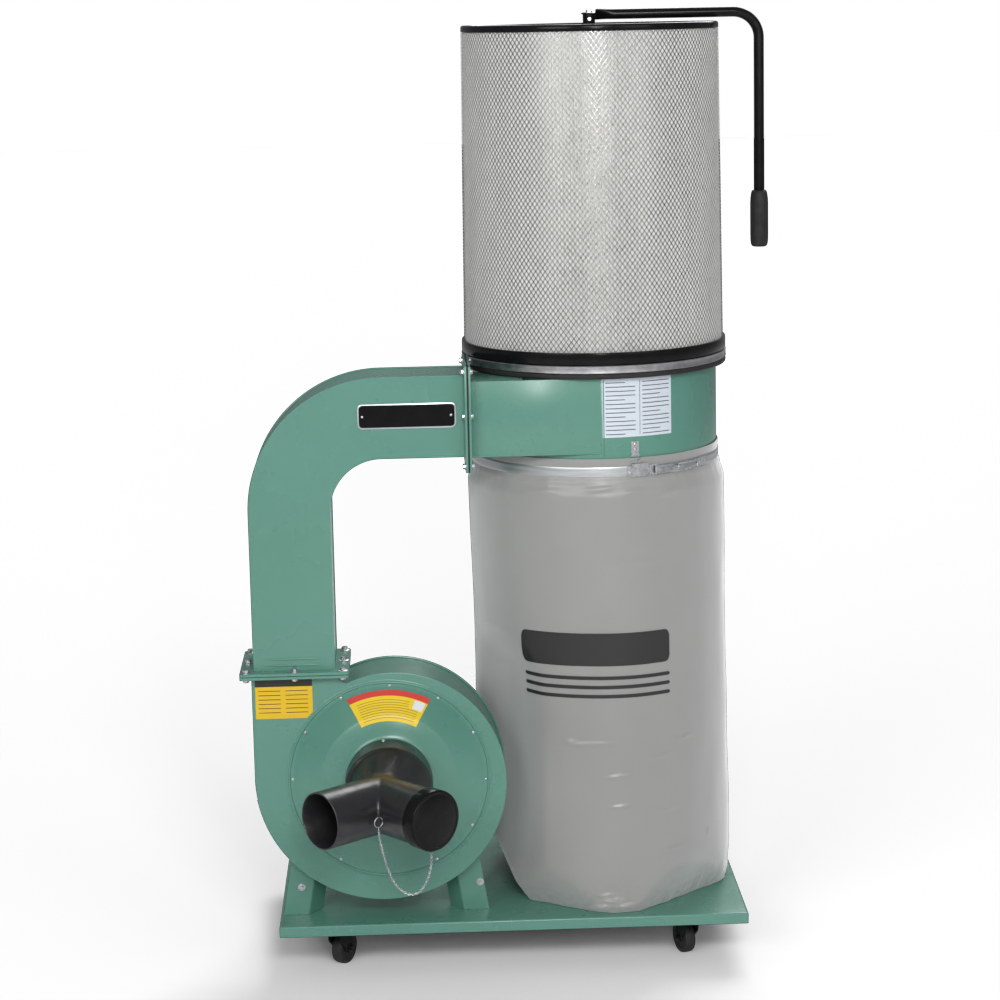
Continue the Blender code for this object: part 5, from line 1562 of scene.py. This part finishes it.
def motor_shell():
    """The ribbed casting, bare where the switch box and the capacitor's cover sit."""
    shape = bmesh.new()
    core = MOTOR_RADIUS - 0.009
    shell = [(core, MOTOR_START + 0.012), (core, MOTOR_END - 0.012),
             (MOTOR_RADIUS - 0.001, MOTOR_END - 0.010), (MOTOR_RADIUS - 0.001, MOTOR_END),
             (0.012, MOTOR_END), (0.012, MOTOR_START), (MOTOR_RADIUS, MOTOR_START),
             (MOTOR_RADIUS, MOTOR_START + 0.010)]
    lathe(shape, shell, MOTOR_AXIS)
    fins = 36
    for i in range(fins):
        turn = 360 / fins * (i + 0.5)
        if abs((turn + 180) % 360 - 180) < 22 or abs(turn - 180) < 12:
            continue
        spin = Matrix.Translation(at(FAN_X, 0, FAN_Z)) @ Matrix.Rotation(math.radians(turn), 4, "Y")
        block(shape, (core - 0.002, MOTOR_START + 0.008, -0.0013),
              (MOTOR_RADIUS - 0.0008, MOTOR_END - 0.008, 0.0013), 0.0006, 1, spin)
    piece("motor_casting", shape, BLACK, "black_paint", replaces=["motor_shell"])


def motor_face():
    """The round plate between the motor and the housing, and its four bolts."""
    face = [(0.0225, BACK_Y + 0.0005), (0.0860, BACK_Y + 0.0005), (0.0869, BACK_Y + 0.0014),
            (0.0869, BACK_Y + 0.0140), (0.0860, BACK_Y + 0.0153), (0.0225, BACK_Y + 0.0153)]
    turned("motor_face", face, MOTOR_AXIS, 96, GREEN, "green_paint", replaces=["motor_flange"])
    shape = bmesh.new()
    for i in range(4):
        hex_head(shape, about_fan(0.0825, 45 + 90 * i, BACK_Y + 0.0153), (0, 1, 0), 0.0080, 0.0050,
                 washer=False)
    piece("motor_bolts", shape, ZINC, "zinc")


def fan_cowl():
    """The cooling fan's cowl with its grille of rings and spokes."""
    shape = bmesh.new()
    outer = MOTOR_RADIUS - 0.001
    cowl = [(outer - 0.0018, MOTOR_END + 0.0006), (outer, MOTOR_END + 0.0006),
            (outer, COWL_END - 0.0090), (outer - 0.0010, COWL_END - 0.0050),
            (outer - 0.0040, COWL_END - 0.0015), (outer - 0.0080, COWL_END), (0.0510, COWL_END),
            (0.0500, COWL_END - 0.0008), (0.0500, COWL_END - 0.0018),
            (outer - 0.0080, COWL_END - 0.0018), (outer - 0.0046, COWL_END - 0.0036),
            (outer - 0.0018, COWL_END - 0.0090)]
    lathe(shape, cowl, MOTOR_AXIS)
    for radius in (0.012, 0.020, 0.028, 0.036, 0.044, 0.0512):
        ring = [about_fan(radius, 7.5 * i, COWL_END - 0.0014) for i in range(48)]
        pipe(shape, ring, GRILLE_WIRE, 8, closed=True)
    for i in range(6):
        spoke = [about_fan(reach, 60 * i, COWL_END - 0.0026) for reach in (0.0115, 0.0520)]
        pipe(shape, spoke, GRILLE_WIRE, 8)
    piece("cowl_pressing", shape, BLACK, "black_paint", replaces=["fan_cowl"])


def capacitor_cover():
    """The capsule on the motor's left side."""
    side = Matrix.Translation(at(FAN_X - MOTOR_RADIUS - 0.0240, 0, FAN_Z + 0.004))
    side = side @ Matrix.Rotation(math.radians(-90), 4, "X")
    profile = [(0, 0.0598), (0.0150, 0.0592), (0.0205, 0.0560), (0.0229, 0.0480), (0.0229, -0.0300),
               (0.0205, -0.0365), (0.0150, -0.0395), (0, -0.0398)]
    turned("capacitor_cap", profile, side, 64, BLACK, "black_paint", closed=False,
           replaces=["capacitor_cover"], sharp=50)


def switch_box():
    """Two-part case, collars round the buttons, and screws."""
    low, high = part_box("switch_box")
    shape = bmesh.new()
    depth = 0.034
    block(shape, low, (low[0] + depth, high[1], high[2]), 0.004, 3)
    middle_y = (low[1] + high[1]) / 2
    block(shape, (low[0] + depth - 0.0006, low[1] + 0.002, low[2] + 0.002),
          (high[0] - 0.0015, high[1] - 0.002, high[2] - 0.002), 0.003, 3)
    for z in (FAN_Z + 0.018, FAN_Z - 0.022):
        lathe(shape, [(0.0150, 0), (0.0148, 0.0016), (0.0135, 0.0022), (0.0114, 0.0022), (0.0113, 0)],
              turn_to((1, 0, 0), Vector((high[0] - 0.0022, middle_y, z))), 48)
    piece("switch_case", shape, PLASTIC, "black_plastic", replaces=["switch_box"])
    shape = bmesh.new()
    for dy in (-0.036, 0.036):
        for dz in (-0.040, 0.036):
            pan_head(shape, Vector((high[0] - 0.0016, middle_y + dy, FAN_Z + dz)), (1, 0, 0), 0.0030, 0.0018)
    piece("switch_screws", shape, ZINC, "zinc")


def switch_buttons():
    """A green and a red button, dished on top."""
    for name, body, colour in (("start_button", "start", (0.03, 0.30, 0.10)),
                               ("stop_button", "stop", (0.55, 0.03, 0.02))):
        button_low, button_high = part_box(name)
        start = Vector((button_low[0], (button_low[1] + button_high[1]) / 2,
                        (button_low[2] + button_high[2]) / 2))
        depth = button_high[0] - button_low[0]
        button = [(0, 0), (0.0109, 0), (0.0109, depth - 0.0012), (0.0100, depth - 0.0002),
                  (0.0080, depth), (0.0060, depth - 0.0008), (0, depth - 0.0012)]
        turned(name + "_cap", button, turn_to((1, 0, 0), start), 48,
               button_plastic(name + "_plastic", colour), name, closed=False, body=body,
               replaces=[name], sharp=45)


def cable_gland():
    """A hexagon nut under the box and its tapered nose."""
    gland_low, gland_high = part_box("cable_gland")
    centre = Vector(((gland_low[0] + gland_high[0]) / 2, (gland_low[1] + gland_high[1]) / 2, gland_high[2]))
    shape = bmesh.new()
    lathe(shape, [(0.0104, 0), (0.0104, -0.0070), (0.0090, -0.0090), (0.0082, -0.0100)],
          Matrix.Translation(centre), 6, closed=False)
    lathe(shape, [(0.0084, -0.0095), (0.0080, -0.0190), (0.0066, -0.0225), (0.0048, -0.0238),
                  (0.0042, -0.0200), (0, -0.0200)], Matrix.Translation(centre), 32, closed=False)
    piece("gland_nut", shape, PLASTIC, "black_plastic", replaces=["cable_gland"])


def painted_frame():
    """CAD pieces whose shape is right keep it and get these finishes."""
    finishes = {
        "motor_stand": GREEN, "left_post": GREEN, "right_post": GREEN, "agitator_shaft": ZINC,
        "shaft_spider": ZINC, "beater_frame": STEEL, "motor_shaft": STEEL, "impeller": STEEL,
        "cooling_fan": PLASTIC}
    for name, finish in finishes.items():
        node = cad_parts[name]
        node.data.materials.clear()
        node.data.materials.append(finish)
    shape = bmesh.new()
    for x in (-0.165, 0.165):
        for z in (1.045, 1.065):
            hex_head(shape, at(x, 0.2525, z), (0, 1, 0), 0.0100, 0.0055)
        hex_head(shape, at(x, 0.2525, 0.118), (0, 1, 0), 0.0100, 0.0055)
    piece("post_bolts", shape, ZINC, "zinc")


motor_shell()
motor_face()
fan_cowl()
capacitor_cover()
switch_box()
switch_buttons()
cable_gland()
painted_frame()


# ---------------------------------------------------------------- labels, all blank


def flat_label(name, outline, material, lift=0.0):
    """A printed panel on the housing's front plate."""
    shape = bmesh.new()
    slab(shape, outline, 0.00025, face_front(0, FRONT_Y - 0.0003 - lift, 0))
    piece(name, shape, material, "nameplate")


def housing_label():
    """Yellow panel with a dark header bar and plain rules instead of words."""
    yellow, dark = printed("label_yellow", (0.72, 0.46, 0.012)), printed("label_dark", (0.018, 0.017, 0.012))
    x_low, x_high, z_low, z_high = -0.672, -0.563, 0.512, 0.590
    corner = 0.012
    outline = [(x_low, z_low), (x_high - corner, z_low), (x_high, z_low + corner), (x_high, z_high),
               (x_low, z_high)]
    flat_label("side_label", outline, yellow)
    flat_label("side_label_header", rectangle(x_low, x_high, z_high - 0.015, z_high), dark, 0.0003)
    shape = bmesh.new()
    for column in (0, 1):
        for row in range(6):
            x0 = x_low + 0.006 + column * 0.052
            z0 = z_high - 0.024 - row * 0.0085
            slab(shape, rectangle(x0, x0 + 0.042, z0, z0 + 0.0012), 0.0002,
                 face_front(0, FRONT_Y - 0.0006, 0))
    piece("side_label_rules", shape, dark, "nameplate")


def arc_panel(shape, inner, outer, first, last, lift):
    """A sector about the fan's axis that follows the cover's face."""
    steps = 32
    rows = []
    bands = max(1, round((outer - inner) / 0.004))
    for i in range(steps + 1):
        turn = first + (last - first) * i / steps
        row = []
        for k in range(bands + 1):
            radius = inner + (outer - inner) * k / bands
            depth = FRONT_Y - 0.0004 - cover_height(radius) - lift
            row.append(shape.verts.new(about_fan(radius, turn, depth)))
        rows.append(row)
    bridge(shape, rows, looped=False)


def cover_label():
    """The curved panel above the inlet: a red band over a yellow field with plain rules."""
    red, yellow = printed("label_red", (0.60, 0.045, 0.035)), printed("label_lemon", (0.80, 0.58, 0.020))
    dark, white = printed("label_ink", (0.30, 0.20, 0.04)), printed("label_white", (0.72, 0.75, 0.78))
    for name, inner, outer, first, last, lift, material in (
            ("arc_label_field", 0.1150, 0.1650, 62.0, 116.0, 0.0004, yellow),
            ("arc_label_band", 0.1650, 0.1765, 62.0, 116.0, 0.0004, red),
            ("arc_label_square", 0.1450, 0.1632, 63.5, 71.0, 0.0006, white)):
        shape = bmesh.new()
        arc_panel(shape, inner, outer, first, last, lift)
        piece(name, shape, material, "nameplate")
    shape = bmesh.new()
    for row in range(8):
        radius = 0.1215 + row * 0.0050
        last = 74.0 if radius > 0.143 else 66.0
        arc_panel(shape, radius, radius + 0.0011, last, 112.0, 0.0006)
    piece("arc_label_rules", shape, dark, "nameplate")


def drum_label():
    """A pale two-column sheet on the drum with grey rules."""
    white, ink = printed("label_pale", (0.60, 0.66, 0.72)), printed("label_grey", (0.10, 0.10, 0.12))
    z_low, z_high = 1.040, 1.1515
    first, last = -0.3, 33.5
    shape = bmesh.new()
    steps = 32

    def strip(a, b, low, high, radius, count):
        rows = []
        for i in range(count + 1):
            turn = a + (b - a) * i / count
            rows.append([shape.verts.new(around(radius, turn, z)) for z in (low, high)])
        bridge(shape, rows, looped=False)

    strip(first, last, z_low, z_high, DRUM_RADIUS + 0.0004, steps)
    piece("drum_label", shape, white, "nameplate")
    shape = bmesh.new()
    for column in (0, 1):
        for row in range(13):
            z = z_high - 0.008 - row * 0.0082
            start = first + 1.4 + column * 17.2
            short = 13.8 if (row * 7 + column * 3) % 4 else 9.0
            strip(start, start + short, z, z + 0.0016, DRUM_RADIUS + 0.0008, 10)
    strip(16.9, 17.1, z_low + 0.004, z_high - 0.004, DRUM_RADIUS + 0.0008, 1)
    piece("drum_label_rules", shape, ink, "nameplate")


def bag_print():
    """A plain print on the film: a dark bar with rounded ends, and three stripes under it."""
    ink = printed("film_ink", (0.020, 0.020, 0.020))
    shape = bmesh.new()
    first, last, across = math.radians(-131), math.radians(-62), 120
    for low, high, rise in ((0.600, 0.664, 16), (0.573, 0.580, 2), (0.555, 0.562, 2), (0.537, 0.544, 2)):
        middle, half = (low + high) / 2, (high - low) / 2
        rows = []
        for i in range(across + 1):
            edge = 1 - min(1.0, min(i, across - i) * 0.0026 / min(half, 0.012))
            reach = half - min(half, 0.012) * (1 - math.sqrt(1 - edge * edge))
            row = []
            for k in range(rise + 1):
                z = middle + reach * (2 * k / rise - 1)
                row.append(shape.verts.new(film_point(first + (last - first) * i / across, z, 0.0008)))
            rows.append(row)
        bridge(shape, rows, looped=False)
    piece("bag_print", shape, ink, "bag_film")


housing_label()
cover_label()
drum_label()
bag_print()
